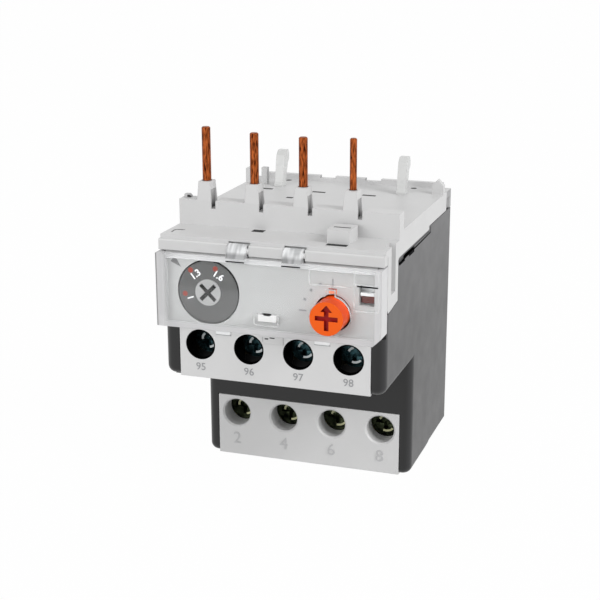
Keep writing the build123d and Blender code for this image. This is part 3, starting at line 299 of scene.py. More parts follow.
def grain_bump(tree, shader, height, depth, normal=None):
    """Turns a pattern into a relief of that depth in metres."""
    bump = tree.nodes.new("ShaderNodeBump")
    bump.inputs["Strength"].default_value = 1.0
    bump.inputs["Distance"].default_value = depth
    tree.links.new(height, bump.inputs["Height"])
    if normal:
        tree.links.new(normal, bump.inputs["Normal"])
    tree.links.new(bump.outputs["Normal"], shader.inputs["Normal"])


def srgb(*levels):
    """Colour levels as a picture shows them, from 0 to 255, turned into light."""
    return tuple(((value / 255 + 0.055) / 1.055) ** 2.4 for value in levels)


def shade(colour, share):
    return tuple(min(1.0, value * share) for value in colour)


# %% The plastic finish and its kinds
def moulded_plastic(name, colour, roughness, depth=0.006 * mm, wear=0.25):
    finish, tree, shader, position = start_finish(name)
    drift = noise(tree, position, 9 * mm)
    tone = two_tone(tree, drift, shade(colour, 0.95), shade(colour, 1.05))
    normal = rounded_normal(tree, 0.12 * mm)
    patches = span(tree, noise(tree, position, 1.5 * mm), 0.0, wear, 0.35, 0.7)
    rubbed = both(tree, edge_mask(tree, normal), patches)
    lighter = shade(tuple(value + 0.05 for value in colour), 1.35)
    colour_by(tree, shader, two_tone(tree, rubbed, tone, lighter))
    smear = noise(tree, position, 4 * mm, 3.0)
    roughen(tree, shader, smear, roughness - 0.06, roughness + 0.06)
    grain_bump(tree, shader, noise(tree, position, 0.22 * mm), depth, normal)
    shader.inputs["IOR"].default_value = 1.5
    return finish


casing_plastic = moulded_plastic("casing_plastic", srgb(24, 24, 26), 0.36, wear=0.3)
block_plastic = moulded_plastic("block_plastic", srgb(7, 7, 8), 0.4)
block_plastic.node_tree.nodes["Principled BSDF"].inputs["Specular IOR Level"].default_value = 0.15
cover_plastic = moulded_plastic("cover_plastic", srgb(204, 204, 204), 0.42, depth=0.004 * mm)
panel_plastic = moulded_plastic("panel_plastic", srgb(210, 210, 210), 0.45, depth=0.004 * mm)
# The fascia's grey is painted darker, as painted shade for the light that the clear cover takes away.
fascia_plastic = moulded_plastic("fascia_plastic", srgb(180, 180, 180), 0.5, depth=0.003 * mm)
slider_plastic = moulded_plastic("slider_plastic", srgb(225, 220, 205), 0.4)
lever_plastic = moulded_plastic("lever_plastic", srgb(150, 155, 160), 0.4)
plunger_plastic = moulded_plastic("plunger_plastic", srgb(60, 62, 66), 0.38)
flag_plastic = moulded_plastic("flag_plastic", srgb(96, 26, 16), 0.4)
bar_plastic = moulded_plastic("bar_plastic", srgb(236, 237, 238), 0.18, depth=0.001 * mm)
print("plastic finishes:", 10)

# %% [markdown]
# ## A bright lug on the fascia
# The latch lug stands in front of the fascia and is whiter. The rest of the fascia lies behind
# the clear cover, and its grey is painted darker, as painted shade for the light the sheet takes
# away. Where two colours of one part meet, their border is a tenth of a millimetre wide. Here the
# depth alone says which side a point is on.

# %% Brighten the latch lug of the fascia
blend = 0.1 * mm
lug_back_y = -25.0 * mm
tree, shader, position = open_finish(fascia_plastic)
on_lug = span(tree, along(tree, position, "Y"), 1.0, 0.0, lug_back_y - blend, lug_back_y)
colour_by(tree, shader, two_tone(tree, on_lug, tone_now(shader), srgb(240, 240, 240)))
print("the lug begins at y", round(lug_back_y / mm, 1), "mm")

# %% [markdown]
# ## Painted shade on the casing's front, painted sheen on its sides
# On the real relay the casing's front looks nearly black in its shade. The long sides look dark
# grey, and from the middle up to the top edge they get paler in the sheen of the light from the
# right. Both are painted here, so the finish asks which way the surface faces, and how high it is.

# %% Paint shade on the casing's front and sheen on its sides
side_middle_z = 30 * mm
side_top_z = 50 * mm
tree, shader, position = open_finish(casing_plastic)
# Painted shade: faces turned to the front get a nearly black grey.
frontward = span(tree, facing(tree, "Y"), 1.0, 0.0, -0.9, -0.7)
front_painted_shade = two_tone(tree, frontward, tone_now(shader), srgb(6, 6, 7))
# Painted sheen: the long sides get paler from the middle up to the top edge.
turned = tree.nodes.new("ShaderNodeMath")
turned.operation = "ABSOLUTE"
tree.links.new(facing(tree, "X"), turned.inputs[0])
sideways = span(tree, turned.outputs[0], 0.0, 1.0, 0.8, 0.9)
high_up = span(tree, along(tree, position, "Z"), 0.0, 1.0, side_middle_z, side_top_z)
side_painted_sheen = two_tone(tree, both(tree, sideways, high_up), front_painted_shade, srgb(62, 62, 64))
colour_by(tree, shader, side_painted_sheen)
print("casing finish asks for the direction")

# %% [markdown]
# ## Grey tabs on the light cover
# Two tabs of the top cover's side reach down into the casing. The finish colours them in the
# casing's grey, so the light part seems to end in a straight line. The finish tells them apart
# by height and depth: everything under the casing's top edge and behind the fascia is grey.
# The recessed rear corner gets less light than the side in front of it, so it is a shade
# darker: there the finish also asks which way the surface faces.

# %% Paint the tabs of the top cover
casing_top_z = 49.85 * mm
fascia_back_y = -14.6 * mm
rear_corner_y = 24.95 * mm
tree, shader, position = open_finish(cover_plastic)
back = along(tree, position, "Y")
below = span(tree, along(tree, position, "Z"), 1.0, 0.0, casing_top_z, casing_top_z + blend)
behind = span(tree, back, 0.0, 1.0, fascia_back_y, fascia_back_y + blend)
sideways = span(tree, facing(tree, "X"), 0.0, 1.0, 0.8, 0.9)
at_rear = span(tree, back, 0.0, 1.0, rear_corner_y, rear_corner_y + blend)
corner_tone = two_tone(tree, both(tree, sideways, at_rear), tone_now(shader), srgb(150, 150, 151))
tab_tone = two_tone(tree, both(tree, below, behind), corner_tone, srgb(46, 46, 48))
colour_by(tree, shader, tab_tone)
print("the tabs end at z", round(casing_top_z / mm, 2), "mm")

# %% [markdown]
# ## Hook nylon
# The two hooks are natural nylon, which lets some light into itself. Full volume scattering
# is slow and noisy for something so small. A little subsurface weight does the same softening
# of the shadows, over a base of about the tray's own light grey.

# %% Hook nylon
hook_nylon, tree, shader, position = start_finish("hook_nylon")
cloud = noise(tree, position, 3 * mm)
colour_by(tree, shader, two_tone(tree, cloud, srgb(196, 197, 196), srgb(208, 209, 208)))
roughen(tree, shader, cloud, 0.22, 0.34)
shader.inputs["Subsurface Weight"].default_value = 0.1
shader.inputs["Subsurface Radius"].default_value = (1.0, 1.0, 1.0)
shader.inputs["Subsurface Scale"].default_value = 1.2 * mm
grain_bump(tree, shader, noise(tree, position, 0.4 * mm), 0.003 * mm, rounded_normal(tree, 0.15 * mm))
print("nylon finish:", hook_nylon.name)

# %% [markdown]
# ## The clear cover
# The swing cover is clear plastic, one millimetre thick. Real refraction through it would
# swallow the lamp light in the path tracer and leave the dial in the dark. So lamp rays pass
# straight through, while the eye still gets glass: the light path node tells the two apart.
# Seen along its length, clear plastic looks white: in the clips, the side walls and the rims.
# So the milky share isn't one number but a map. It is high near those places, very low over
# the dial's upper half, and a little higher below, as a painted reflection of the bright table.
# The sheet bends light less than real acrylic does (1.2 instead of 1.49), because a mirror of
# the whole tent, four hundredths from each face, would wash the dial out.

# %% Clear plastic
left_edge_x = -22.3 * mm
left_wall_x = -21.1 * mm
right_wall_x = 21.1 * mm
sheet_back_y = cover_y + 1.05 * mm
low_rim_z = 36.7 * mm
reflection_border_z = 43.6 * mm
clip_foot_z = 50.2 * mm
clip_middle_z = 50.9 * mm
milkiest = 0.85
clear_tone = srgb(246, 247, 247)


def milky_map(tree, position):
    """The milky share over the cover: clips, walls, rims and a painted reflection of the table below."""
    across, back, up = (along(tree, position, axis) for axis in "XYZ")
    total = span(tree, up, 0.0, milkiest, clip_foot_z, clip_foot_z + blend)
    left_wall = span(tree, across, milkiest, 0.0, left_wall_x, left_wall_x + 0.9 * mm)
    right_wall = span(tree, across, 0.0, milkiest, right_wall_x, right_wall_x + blend)
    rims = span(tree, back, 0.0, milkiest, sheet_back_y, sheet_back_y + blend)
    low_rim = span(tree, up, 0.7, 0.0, low_rim_z, low_rim_z + 2 * blend)
    table_reflection_haze = span(tree, up, 0.035, 0.01, reflection_border_z, reflection_border_z + 0.6 * mm)
    for place in (left_wall, right_wall, rims, low_rim, table_reflection_haze):
        total = larger(tree, total, place)
    return total


def milky_tones(tree, position):
    """Milky places: painted highlight bands and shade on the clips, walls with a line on the left."""
    up = along(tree, position, "Z")
    on_clip = span(tree, up, 0.0, 1.0, clip_foot_z, clip_foot_z + blend)
    high_on_clip = span(tree, up, 0.0, 1.0, clip_middle_z, clip_middle_z + 0.6 * mm)
    # Painted highlight and shade on the clips: a light, banded upper half over a darker lower half.
    highlight_bands = span(tree, noise(tree, position, 1.3 * mm, 1.0, (1, 0.2, 0.2)), 0.0, 1.0, 0.44, 0.56)
    clip_painted_highlight = two_tone(tree, highlight_bands, srgb(188, 189, 190), srgb(234, 235, 236))
    clip_painted_shade = two_tone(tree, highlight_bands, srgb(140, 141, 142), srgb(176, 177, 178))
    clip_painted_light = two_tone(tree, high_on_clip, clip_painted_shade, clip_painted_highlight)
    left_line = span(tree, along(tree, position, "X"), 1.0, 0.0, left_edge_x, left_edge_x + blend)
    wall_tone = two_tone(tree, left_line, srgb(212, 212, 213), srgb(150, 150, 151))
    return two_tone(tree, on_clip, wall_tone, clip_painted_light)


def clear_plastic(name, roughness, bending, milky=None):
    """Clear plastic with one milky share, or with the cover's map where none is given."""
    finish, tree, shader, position = start_finish(name)
    shader.inputs["Base Color"].default_value = (*clear_tone, 1)
    if milky:
        shader.inputs["Transmission Weight"].default_value = 1 - milky
    else:
        share = milky_map(tree, position)
        tree.links.new(span(tree, share, 1.0, 0.0), shader.inputs["Transmission Weight"])
        milky_enough = span(tree, share, 0.0, 1.0, 0.1, 0.5)
        tone = two_tone(tree, milky_enough, clear_tone, milky_tones(tree, position))
        colour_by(tree, shader, tone)
    shader.inputs["IOR"].default_value = bending
    smear = noise(tree, position, 5 * mm, 3.0)
    roughen(tree, shader, smear, roughness - 0.02, roughness + 0.02)
    grain_bump(tree, shader, noise(tree, position, 6 * mm), 0.004 * mm, rounded_normal(tree, 0.1 * mm))
    through = tree.nodes.new("ShaderNodeBsdfTransparent")
    through.inputs["Color"].default_value = (1, 1, 1, 1)
    path = tree.nodes.new("ShaderNodeLightPath")
    choose = tree.nodes.new("ShaderNodeMixShader")
    tree.links.new(path.outputs["Is Shadow Ray"], choose.inputs["Fac"])
    tree.links.new(shader.outputs["BSDF"], choose.inputs[1])
    tree.links.new(through.outputs["BSDF"], choose.inputs[2])
    tree.links.new(choose.outputs["Shader"], tree.nodes["Material Output"].inputs["Surface"])
    return finish


cover_clear = clear_plastic("cover_clear", 0.03, 1.2)
ridge_clear = clear_plastic("ridge_clear", 0.06, 1.49, 0.22)
print("clear finishes:", 2)

# %% [markdown]
# ## Metals
# The pins are drawn copper wire: the die leaves streaks along the length, and handled
# copper turns brown in patches. Stretching the noise along Z makes streaks out of blobs.
# Screws are steel with a thin zinc coat, clamps and plates are brass, and the heaters are
# a dull resistance ribbon. All of them are the same recipe with other colours and grain.
# Screws and clamps that lie deep in a hole mirror its dark walls, so their colours are darker.

# %% Metal finishes
def drawn_metal(name, bright, dark, roughness, stretch, grain, patches=0.5, depth=0.004 * mm, contrast=0.2):
    finish, tree, shader, position = start_finish(name)
    streaks = noise(tree, position, grain, 4.0, stretch)
    stained = span(tree, streaks, 0.0, 1.0, patches - contrast, patches + contrast)
    colour_by(tree, shader, two_tone(tree, stained, bright, dark))
    shader.inputs["Metallic"].default_value = 1.0
    roughen(tree, shader, streaks, roughness - 0.08, roughness + 0.12)
    grain_bump(tree, shader, streaks, depth, rounded_normal(tree, 0.08 * mm))
    return finish


pin_copper = drawn_metal(
    "pin_copper", srgb(184, 97, 49), srgb(60, 21, 8), 0.36, (1, 1, 0.1), 0.16 * mm, 0.51, contrast=0.1
)
screw_steel = drawn_metal(
    "screw_steel", srgb(70, 104, 110), srgb(14, 20, 22), 0.2, (1, 1, 1), 1.2 * mm, 0.46, 0.012 * mm
)
spring_steel = drawn_metal("spring_steel", srgb(150, 152, 154), srgb(90, 92, 95), 0.3, (1, 1, 1), 0.3 * mm)
seat_steel = drawn_metal(
    "seat_steel", srgb(82, 90, 66), srgb(12, 15, 12), 0.2, (1, 1, 1), 1.2 * mm, 0.44, 0.012 * mm
)
shadow_brass = drawn_metal("shadow_brass", srgb(70, 66, 50), srgb(26, 24, 18), 0.3, (1, 1, 1), 0.8 * mm)
clamp_brass = drawn_metal("clamp_brass", srgb(206, 196, 160), srgb(140, 128, 92), 0.28, (1, 1, 1), 0.8 * mm)
plate_brass = drawn_metal("plate_brass", srgb(196, 170, 104), srgb(140, 116, 62), 0.3, (0.2, 1, 1), 0.5 * mm)
heater_metal = drawn_metal(
    "heater_metal", srgb(120, 116, 110), srgb(70, 66, 62), 0.4, (0.1, 0.1, 1), 0.3 * mm
)
bimetal_steel = drawn_metal(
    "bimetal_steel", srgb(160, 158, 152), srgb(112, 108, 102), 0.32, (1, 1, 0.1), 0.3 * mm
)
contact_silver = drawn_metal(
    "contact_silver", srgb(206, 206, 204), srgb(150, 148, 144), 0.24, (1, 1, 1), 0.6 * mm
)
print("metal finishes:", 10)

# %% [markdown]
# ## Two-colour mouldings
# The dial's boss is a lighter grey than its rim, and its screwdriver slot is painted near-black,
# as painted shade in the slot. The arrow sunk into the reset button is red, and the button's sides
# are painted a deeper orange than its face, as painted shade. All are areas of one part, so they
# need no extra piece: the shader measures the distance from the part's axis and the depth from its
# face, and picks the colour by those.

# %% Paint by distance from an axis
def distance_from_axis(tree, position, x, z):
    shift = tree.nodes.new("ShaderNodeVectorMath")
    shift.operation = "SUBTRACT"
    shift.inputs[1].default_value = (x, 0, z)
    tree.links.new(position, shift.inputs[0])
    flatten = tree.nodes.new("ShaderNodeVectorMath")
    flatten.operation = "MULTIPLY"
    flatten.inputs[1].default_value = (1, 0, 1)
    tree.links.new(shift.outputs[0], flatten.inputs[0])
    length = tree.nodes.new("ShaderNodeVectorMath")
    length.operation = "LENGTH"
    tree.links.new(flatten.outputs[0], length.inputs[0])
    return length.outputs["Value"]


# %% Dial and button finishes
edge_blur = 0.03 * mm
boss_radius = 2.6 * mm
slot_radius = 2.42 * mm
arrow_radius = 2.85 * mm
dial_grey, tree, shader, position = start_finish("dial_grey")
reach_out = distance_from_axis(tree, position, dial_x, dial_z)
depth = along(tree, position, "Y")
on_boss = span(tree, reach_out, 1.0, 0.0, boss_radius, boss_radius + edge_blur)
proud = span(tree, depth, 1.0, 0.0, dial_face_y - edge_blur, dial_face_y)
cloud = noise(tree, position, 6 * mm)
rim_tone = two_tone(tree, cloud, srgb(87, 87, 87), srgb(93, 93, 93))
painted = two_tone(tree, both(tree, on_boss, proud), rim_tone, srgb(166, 166, 166))
# Painted shade: the slot's walls and floor get a near-black grey.
inside_boss = span(tree, reach_out, 1.0, 0.0, slot_radius, slot_radius + edge_blur)
under_face = span(tree, depth, 0.0, 1.0, dial_low[1] + 0.04 * mm, dial_low[1] + 0.1 * mm)
painted = two_tone(tree, both(tree, inside_boss, under_face), painted, srgb(12, 12, 12))
colour_by(tree, shader, painted)
roughen(tree, shader, cloud, 0.36, 0.48)
shader.inputs["Specular IOR Level"].default_value = 0.2
grain_bump(tree, shader, noise(tree, position, 0.2 * mm), 0.004 * mm, rounded_normal(tree, 0.1 * mm))

button_orange, tree, shader, position = start_finish("button_orange")
reach_out = distance_from_axis(tree, position, button_x, button_z)
depth = along(tree, position, "Y")
near_axis = span(tree, reach_out, 1.0, 0.0, arrow_radius, arrow_radius + edge_blur)
under_face = span(tree, depth, 0.0, 1.0, button_low[1] + 0.05 * mm, button_low[1] + 0.12 * mm)
not_deeper = span(tree, depth, 1.0, 0.0, button_low[1] + 0.9 * mm, button_low[1] + 1.0 * mm)
cloud = noise(tree, position, 4 * mm)
face_skin = two_tone(tree, cloud, srgb(236, 88, 0), srgb(242, 98, 0))
# Painted shade: faces that don't look to the front get a deeper orange.
on_face = span(tree, facing(tree, "Y"), 1.0, 0.0, -0.9, -0.5)
skin = two_tone(tree, on_face, srgb(224, 72, 0), face_skin)
in_arrow = both(tree, both(tree, near_axis, under_face), not_deeper)
colour_by(tree, shader, two_tone(tree, in_arrow, skin, srgb(158, 2, 4)))
shader.inputs["Specular IOR Level"].default_value = 0.25
roughen(tree, shader, cloud, 0.3, 0.42)
grain_bump(tree, shader, noise(tree, position, 0.25 * mm), 0.004 * mm, rounded_normal(tree, 0.15 * mm))
print("two-colour finishes:", 2)

# %% [markdown]
# ## Inks and gaps
# Pad-printed marks are a few hundredths of a millimetre thick, a little uneven, and duller
# than the plastic. The same recipe paints shade and light: the dark lines round a pin or under a
# catch are gaps that no light leaves, the shadow inks are painted shade, and the glint inks are
# painted highlights.

# %% Inks
def printed_ink(name, colour, roughness=0.55):
    finish, tree, shader, position = start_finish(name)
    patchy = noise(tree, position, 0.5 * mm, 3.0)
    tone = two_tone(tree, patchy, shade(colour, 0.86), shade(colour, 1.1))
    colour_by(tree, shader, tone)
    roughen(tree, shader, patchy, roughness - 0.08, roughness + 0.08)
    grain_bump(tree, shader, patchy, 0.003 * mm)
    return finish


white_ink = printed_ink("white_ink", srgb(244, 245, 246))
grey_ink_and_shade = printed_ink("grey_ink_and_shade", srgb(150, 151, 153))
faint_ink = printed_ink("faint_ink", srgb(140, 141, 143))
painted_zinc_glint = printed_ink("painted_zinc_glint", srgb(238, 244, 245), 0.3)
painted_brass_glint = printed_ink("painted_brass_glint", srgb(214, 214, 170), 0.3)
raised_ink = printed_ink("raised_ink", srgb(190, 190, 191))
dot_ink = printed_ink("dot_ink", srgb(146, 42, 20))
peach_ink = printed_ink("peach_ink", srgb(232, 150, 118))
painted_gap_shade = printed_ink("painted_gap_shade", srgb(20, 20, 21), 0.7)
shadow_grey = printed_ink("shadow_grey", srgb(84, 84, 85), 0.7)
pointer_grey = printed_ink("pointer_grey", srgb(110, 110, 111))
deep_black = printed_ink("deep_black", srgb(3, 3, 3), 0.9)
deep_black.node_tree.nodes["Principled BSDF"].inputs["Specular IOR Level"].default_value = 0.0
print("inks:", 12)

# %% [markdown]
# ## Dress the CAD parts
# Each CAD part keeps its shape and gets one of the finishes. The parts come in families with
# numbered names, so the name without its number is enough to choose.

# %% Give each part its finish
finish_of_family = {
    "base_casing": casing_plastic,
    "aux_terminal_block": block_plastic,
    "main_terminal_block": block_plastic,
    "aux_terminal_panel": panel_plastic,
    "main_terminal_panel": panel_plastic,
    "top_cover": cover_plastic,
    "front_cover": fascia_plastic,
    "clear_cover": cover_clear,
    "mounting_hook_left": hook_nylon,
    "mounting_hook_right": hook_nylon,
    "line_pin": pin_copper,
    "coil_pin": pin_copper,
    "bimetal": bimetal_steel,
    "heater_winding": heater_metal,
    "main_bar": plate_brass,
    "aux_plate": plate_brass,
    "aux_screw": screw_steel,
    "main_screw": seat_steel,
    "aux_clamp": shadow_brass,
    "main_clamp": clamp_brass,
    "contact_carrier": slider_plastic,
    "break_bridge": contact_silver,
    "make_bridge": contact_silver,
    "trip_flag": flag_plastic,
    "reset_spring": spring_steel,
    "trip_spring": spring_steel,
    "reset_plunger": plunger_plastic,
    "reset_button": button_orange,
    "setting_dial": dial_grey,
    "setting_cam": lever_plastic,
    "setting_link": lever_plastic,
    "trip_lever": lever_plastic,
    "compensating_strip": bimetal_steel,
    "main_slider": slider_plastic,
    "differential_slider": slider_plastic,
    "differential_lever": lever_plastic,
}
for name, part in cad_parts.items():
    family = name.rstrip("0123456789").rstrip("_")
    for slot in part.material_slots:
        slot.material = finish_of_family[family]
print("dressed parts:", len(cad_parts))

# %% [markdown]
# ## Small mouldings and marks as mesh
# Every added piece here is a thin shape that lies on a wall. One helper is enough: it takes an
# outline, gives it a depth behind the wall's plane, and rounds its edges with a bevel, because
# a sharp little box would glitter like glass. Most walls face the front. Some face up or right,
# so the helper can turn the outline that way.

# %% Helper for a moulded shape
facings = {
    "front": lambda u, v, plane, depth: (u, plane + depth, v),
    "top": lambda u, v, plane, depth: (u, v, plane - depth),
    "right": lambda u, v, plane, depth: (plane - depth, u, v),
}


def mesh_of(name, shape):
    """The shape as a mesh of its own."""
    mesh = bpy.data.meshes.new(name)
    shape.to_mesh(mesh)
    shape.free()
    return mesh


def finished_piece(name, mesh, finish):
    """A mesh with its finish, as an object of the scene."""
    mesh.materials.clear()
    mesh.materials.append(finish)
    piece = bpy.data.objects.new(name, mesh)
    bpy.context.scene.collection.objects.link(piece)
    return piece


def moulding(name, outline, plane, depth, finish, body, rounding=0.0, faces="front"):
    """A flat piece with this outline in the wall's plane, from the plane inwards."""
    place = facings[faces]
    shape = bmesh.new()
    near = [shape.verts.new(place(u, v, plane, 0.0)) for u, v in outline]
    far = [shape.verts.new(place(u, v, plane, depth)) for u, v in outline]
    shape.faces.new(near)
    shape.faces.new(far[::-1])
    for step in range(len(outline)):
        after = (step + 1) % len(outline)
        shape.faces.new((near[step], far[step], far[after], near[after]))
    bmesh.ops.recalc_face_normals(shape, faces=shape.faces)
    if rounding:
        bmesh.ops.bevel(
            shape, geom=list(shape.edges), offset=rounding, segments=2, profile=0.6, affect="EDGES"
        )
    piece = finished_piece(name, mesh_of(name, shape), finish)
    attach(piece, body)


def in_metres(points, x=0.0, z=0.0):
    """Points in millimetres as points in metres, counted from a place that is in metres."""
    return [(x + u * mm, z + v * mm) for u, v in points]


def at_turn(x, z, reach, turn):
    """The point at this reach from a middle, at a turn clockwise from the top."""
    return (x + reach * math.sin(turn), z + reach * math.cos(turn))


def box_outline(left, right, low, high, cut=0.0):
    """A rectangle in millimetres, with its corners cut if asked, as points in metres."""
    points = [
        (left + cut, low), (right - cut, low), (right, low + cut), (right, high - cut),
        (right - cut, high), (left + cut, high), (left, high - cut), (left, low + cut),
    ]
    if not cut:
        points = [(left, low), (right, low), (right, high), (left, high)]
    return in_metres(points)


def disc_outline(x, z, radius, corners=24):
    turns = [2 * math.pi * step / corners for step in range(corners)]
    return [(x + radius * math.cos(turn), z + radius * math.sin(turn)) for turn in turns]


# %% [markdown]
# ## Numbers
# The numbers on the dial and under the terminals are a font curve with a little depth. It is
# turned into a mesh, so that the same outlines go wherever the model goes. The figures are
# seven tenths of the font's size high.

# %% Helper for a printed or raised number
capital_share = 0.7


def printed_number(name, text, x, z, height, front_y, depth, finish, body, turn=0.0, bolder=0.0):
    letters = bpy.data.curves.new(name, "FONT")
    letters.body = text
    letters.size = height / capital_share
    letters.offset = bolder
    letters.align_x = "CENTER"
    letters.align_y = "CENTER"
    letters.extrude = depth / 2
    letters.resolution_u = 3
    flat = bpy.data.objects.new(name, letters)
    bpy.context.scene.collection.objects.link(flat)
    mesh = bpy.data.meshes.new_from_object(flat)
    bpy.data.objects.remove(flat)
    upright = Matrix.Rotation(math.radians(90), 4, "X")
    spin = Matrix.Rotation(math.radians(turn), 4, "Y")
    mesh.transform(Matrix.Translation((x, front_y + depth / 2, z)) @ spin @ upright)
    piece = finished_piece(name, mesh, finish)
    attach(piece, body)


# %% [markdown]
# ## The dial's scale
# The setting dial carries three red-brown dots, each with its current beside it. The numbers
# stand on the circle, with their feet to the centre, so a number at an angle from the top is
# turned by the same angle.

# %% Dots and numbers on the dial
ink_thickness = 0.03 * mm
dial_marks = (("1", -97.5, 4.9, -110, 3.9), ("1.3", -41.5, 5.5, -38, 4.2), ("1.6", 17.5, 5.0, 31, 4.0))
front = dial_face_y - ink_thickness
for count, (text, dot_angle, dot_reach, angle, reach_mm) in enumerate(dial_marks, start=1):
    dot_x, dot_z = at_turn(dial_x, dial_z, dot_reach * mm, math.radians(dot_angle))
    dot = disc_outline(dot_x, dot_z, 0.52 * mm)
    moulding(f"dial_dot_{count}", dot, front, ink_thickness, dot_ink, "dial")
    number_x, number_z = at_turn(dial_x, dial_z, reach_mm * mm, math.radians(angle))
    printed_number(
        f"dial_number_{count}", text, number_x, number_z, 1.3 * mm, front, ink_thickness,
        white_ink, "dial", angle, 0.05 * mm,
    )
print("dial marks:", len(dial_marks))

# %% [markdown]
# ## The marks round the reset button
# The reset button turns between two positions. An orange mark shows in the notch of the clear
# cover, over the first position, and behind the cover short marks on an arc lead from there
# to the other. Plain marks say it without words.

# %% Notch and position marks
fascia_recess = 1.6 * mm
fascia_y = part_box("front_cover")[0][1] + fascia_recess
front = fascia_y - ink_thickness
notch_outline = in_metres(((-0.8, 3.7), (0.8, 3.7), (0.8, 4.5), (-0.8, 4.5)), button_x, button_z)
notch_line = in_metres(((-0.8, 4.5), (0.8, 4.5), (0.8, 4.8), (-0.8, 4.8)), button_x, button_z)
moulding("notch_mark", notch_outline, front, ink_thickness, peach_ink, "casing")
moulding("notch_line", notch_line, front, ink_thickness, dot_ink, "casing")
mark_reach = 5.9 * mm
for count, angle in enumerate((90, 114, 136, 158, 180), start=1):
    turn = math.radians(angle)
    side = (-math.sin(turn), math.cos(turn))
    out = (math.cos(turn), math.sin(turn))
    long_mark = angle in (90, 180)
    half_width = 0.16 * mm if long_mark else 0.28 * mm
    half_length = 0.75 * mm if long_mark else 0.28 * mm
    outline = [
        (
            button_x + out[0] * (mark_reach + u * half_length) + side[0] * v * half_width,
            button_z + out[1] * (mark_reach + u * half_length) + side[1] * v * half_width,
        )
        for u, v in ((-1, -1), (1, -1), (1, 1), (-1, 1))
    ]
    moulding(f"position_mark_{count}", outline, front, ink_thickness, faint_ink, "casing")
triangle = in_metres(((-19.2, 49.5), (-20.1, 48.3), (-17.9, 47.3)))
moulding("dial_pointer", triangle, front, ink_thickness, pointer_grey, "casing")
print("position marks:", 5)

# %% [markdown]
# ## Steps and frames of the clear cover
# The cover isn't one plain sheet: a step runs down from the right catch and across to a small
# frame over the trip window, and the edges of the openings are thicker. Each is a low ridge
# of slightly milkier plastic, bevelled, so that it shows as a pair of fine lines.

# %% Ridges on the clear cover
ridge_proud = 0.07 * mm
ridges = (
    ("step_ridge_upright", 8.55, 8.72, 46.75, 50.1),
    ("step_ridge_across", 8.72, 16.9, 46.65, 46.8),
    ("trip_frame_left", 17.2, 17.36, 42.3, 49.9),
    ("trip_frame_right", 21.9, 22.06, 42.3, 49.9),
    ("trip_frame_top", 17.36, 21.9, 49.72, 49.88),
    ("trip_frame_middle", 17.36, 21.9, 47.3, 47.46),
    ("trip_frame_low", 17.36, 21.9, 42.3, 42.46),
    ("latch_frame_left", -2.5, -2.34, 37.9, 40.1),
    ("latch_frame_right", 2.34, 2.5, 37.9, 40.1),
    ("latch_frame_low", -2.34, 2.34, 37.66, 37.82),
)
for name, left, right, low, high in ridges:
    moulding(
        name, box_outline(left, right, low, high), cover_y - ridge_proud, ridge_proud + 0.1 * mm,
        ridge_clear, "clear_cover", 0.02 * mm,
    )
trip_line = box_outline(17.8, 21.8, 46.95, 47.2)
moulding("trip_line", trip_line, cover_y - ink_thickness, 0.06 * mm, deep_black, "clear_cover")
latch_spot = in_metres(
    ((-0.9, 39.9), (-0.45, 39.62), (0.55, 39.6), (1.0, 39.85), (0.9, 40.12), (-0.8, 40.12))
)
latch_spot_y = -26.55 * mm
moulding("latch_spot", latch_spot, latch_spot_y, 0.1 * mm, deep_black, "casing")
print("ridges:", len(ridges))

# %% [markdown]
# ## Catches on the upper terminal panel
# Two glossy white bars and one small catch hold the light panel under the fascia. They stand
# a few tenths of a millimetre proud, between the screwdriver holes. The grey line under each bar
# is a painted shadow, and the catch's gap, notch and side are painted shade.

# %% Bars and catch of the upper panel
for count, (left, right) in enumerate(((-11.4, -8.4), (8.7, 11.7)), start=1):
    # Painted shadow: a grey line under each bar.
    shadow = box_outline(left - 0.1, right + 0.1, 33.95, 34.15)
    bar = box_outline(left, right, 34.15, 35.4, 0.12)
    moulding(f"panel_bar_shadow_{count}", shadow, upper_panel_y - 0.03 * mm, 0.06 * mm, grey_ink_and_shade, "casing")
    moulding(f"panel_bar_{count}", bar, upper_panel_y - 0.35 * mm, 0.4 * mm, bar_plastic, "casing", 0.1 * mm)
catch = box_outline(-1.9, 2.4, 33.2, 35.5, 0.2)
moulding("panel_catch", catch, upper_panel_y - 0.3 * mm, 0.35 * mm, cover_plastic, "casing", 0.1 * mm)
# Painted shade: the gap, notch and side of the catch.
for name, left, right, low, high, finish in (
    ("panel_catch_gap", -0.3, 0.7, 34.4, 34.6, painted_gap_shade),
    ("panel_catch_notch", -1.3, -0.6, 34.1, 34.4, shadow_grey),
    ("panel_catch_side", -1.75, -1.65, 33.6, 34.6, grey_ink_and_shade),
):
    moulding(name, box_outline(left, right, low, high), upper_panel_y - 0.33 * mm, 0.1 * mm, finish, "casing")
print("panel catches:", 3)

# %% [markdown]
# ## The look into the screw holes
# Behind the upper panel the terminal chambers are black plastic, and a lining of painted shade
# makes them black right up to the hole's edge. Behind the lower panel each hole goes on as a light
# sleeve. The screw heads lie deep, and what shows of them is mostly the light on their rims:
# two painted highlight arcs on opposite sides of the head.

# %% Linings, sleeves and bright arcs
def ring_piece(name, x, z, inner, outer, front_y, depth, finish, body, start=0.0, end=360.0, steps=40):
    """A ring, or an arc of one, that faces the front. Angles run clockwise from the top."""
    turns = [math.radians(start + (end - start) * step / steps) for step in range(steps + 1)]
    outline = [at_turn(x, z, outer, turn) for turn in turns]
    outline += [at_turn(x, z, inner, turn) for turn in reversed(turns)]
    moulding(name, outline, front_y, depth, finish, body)


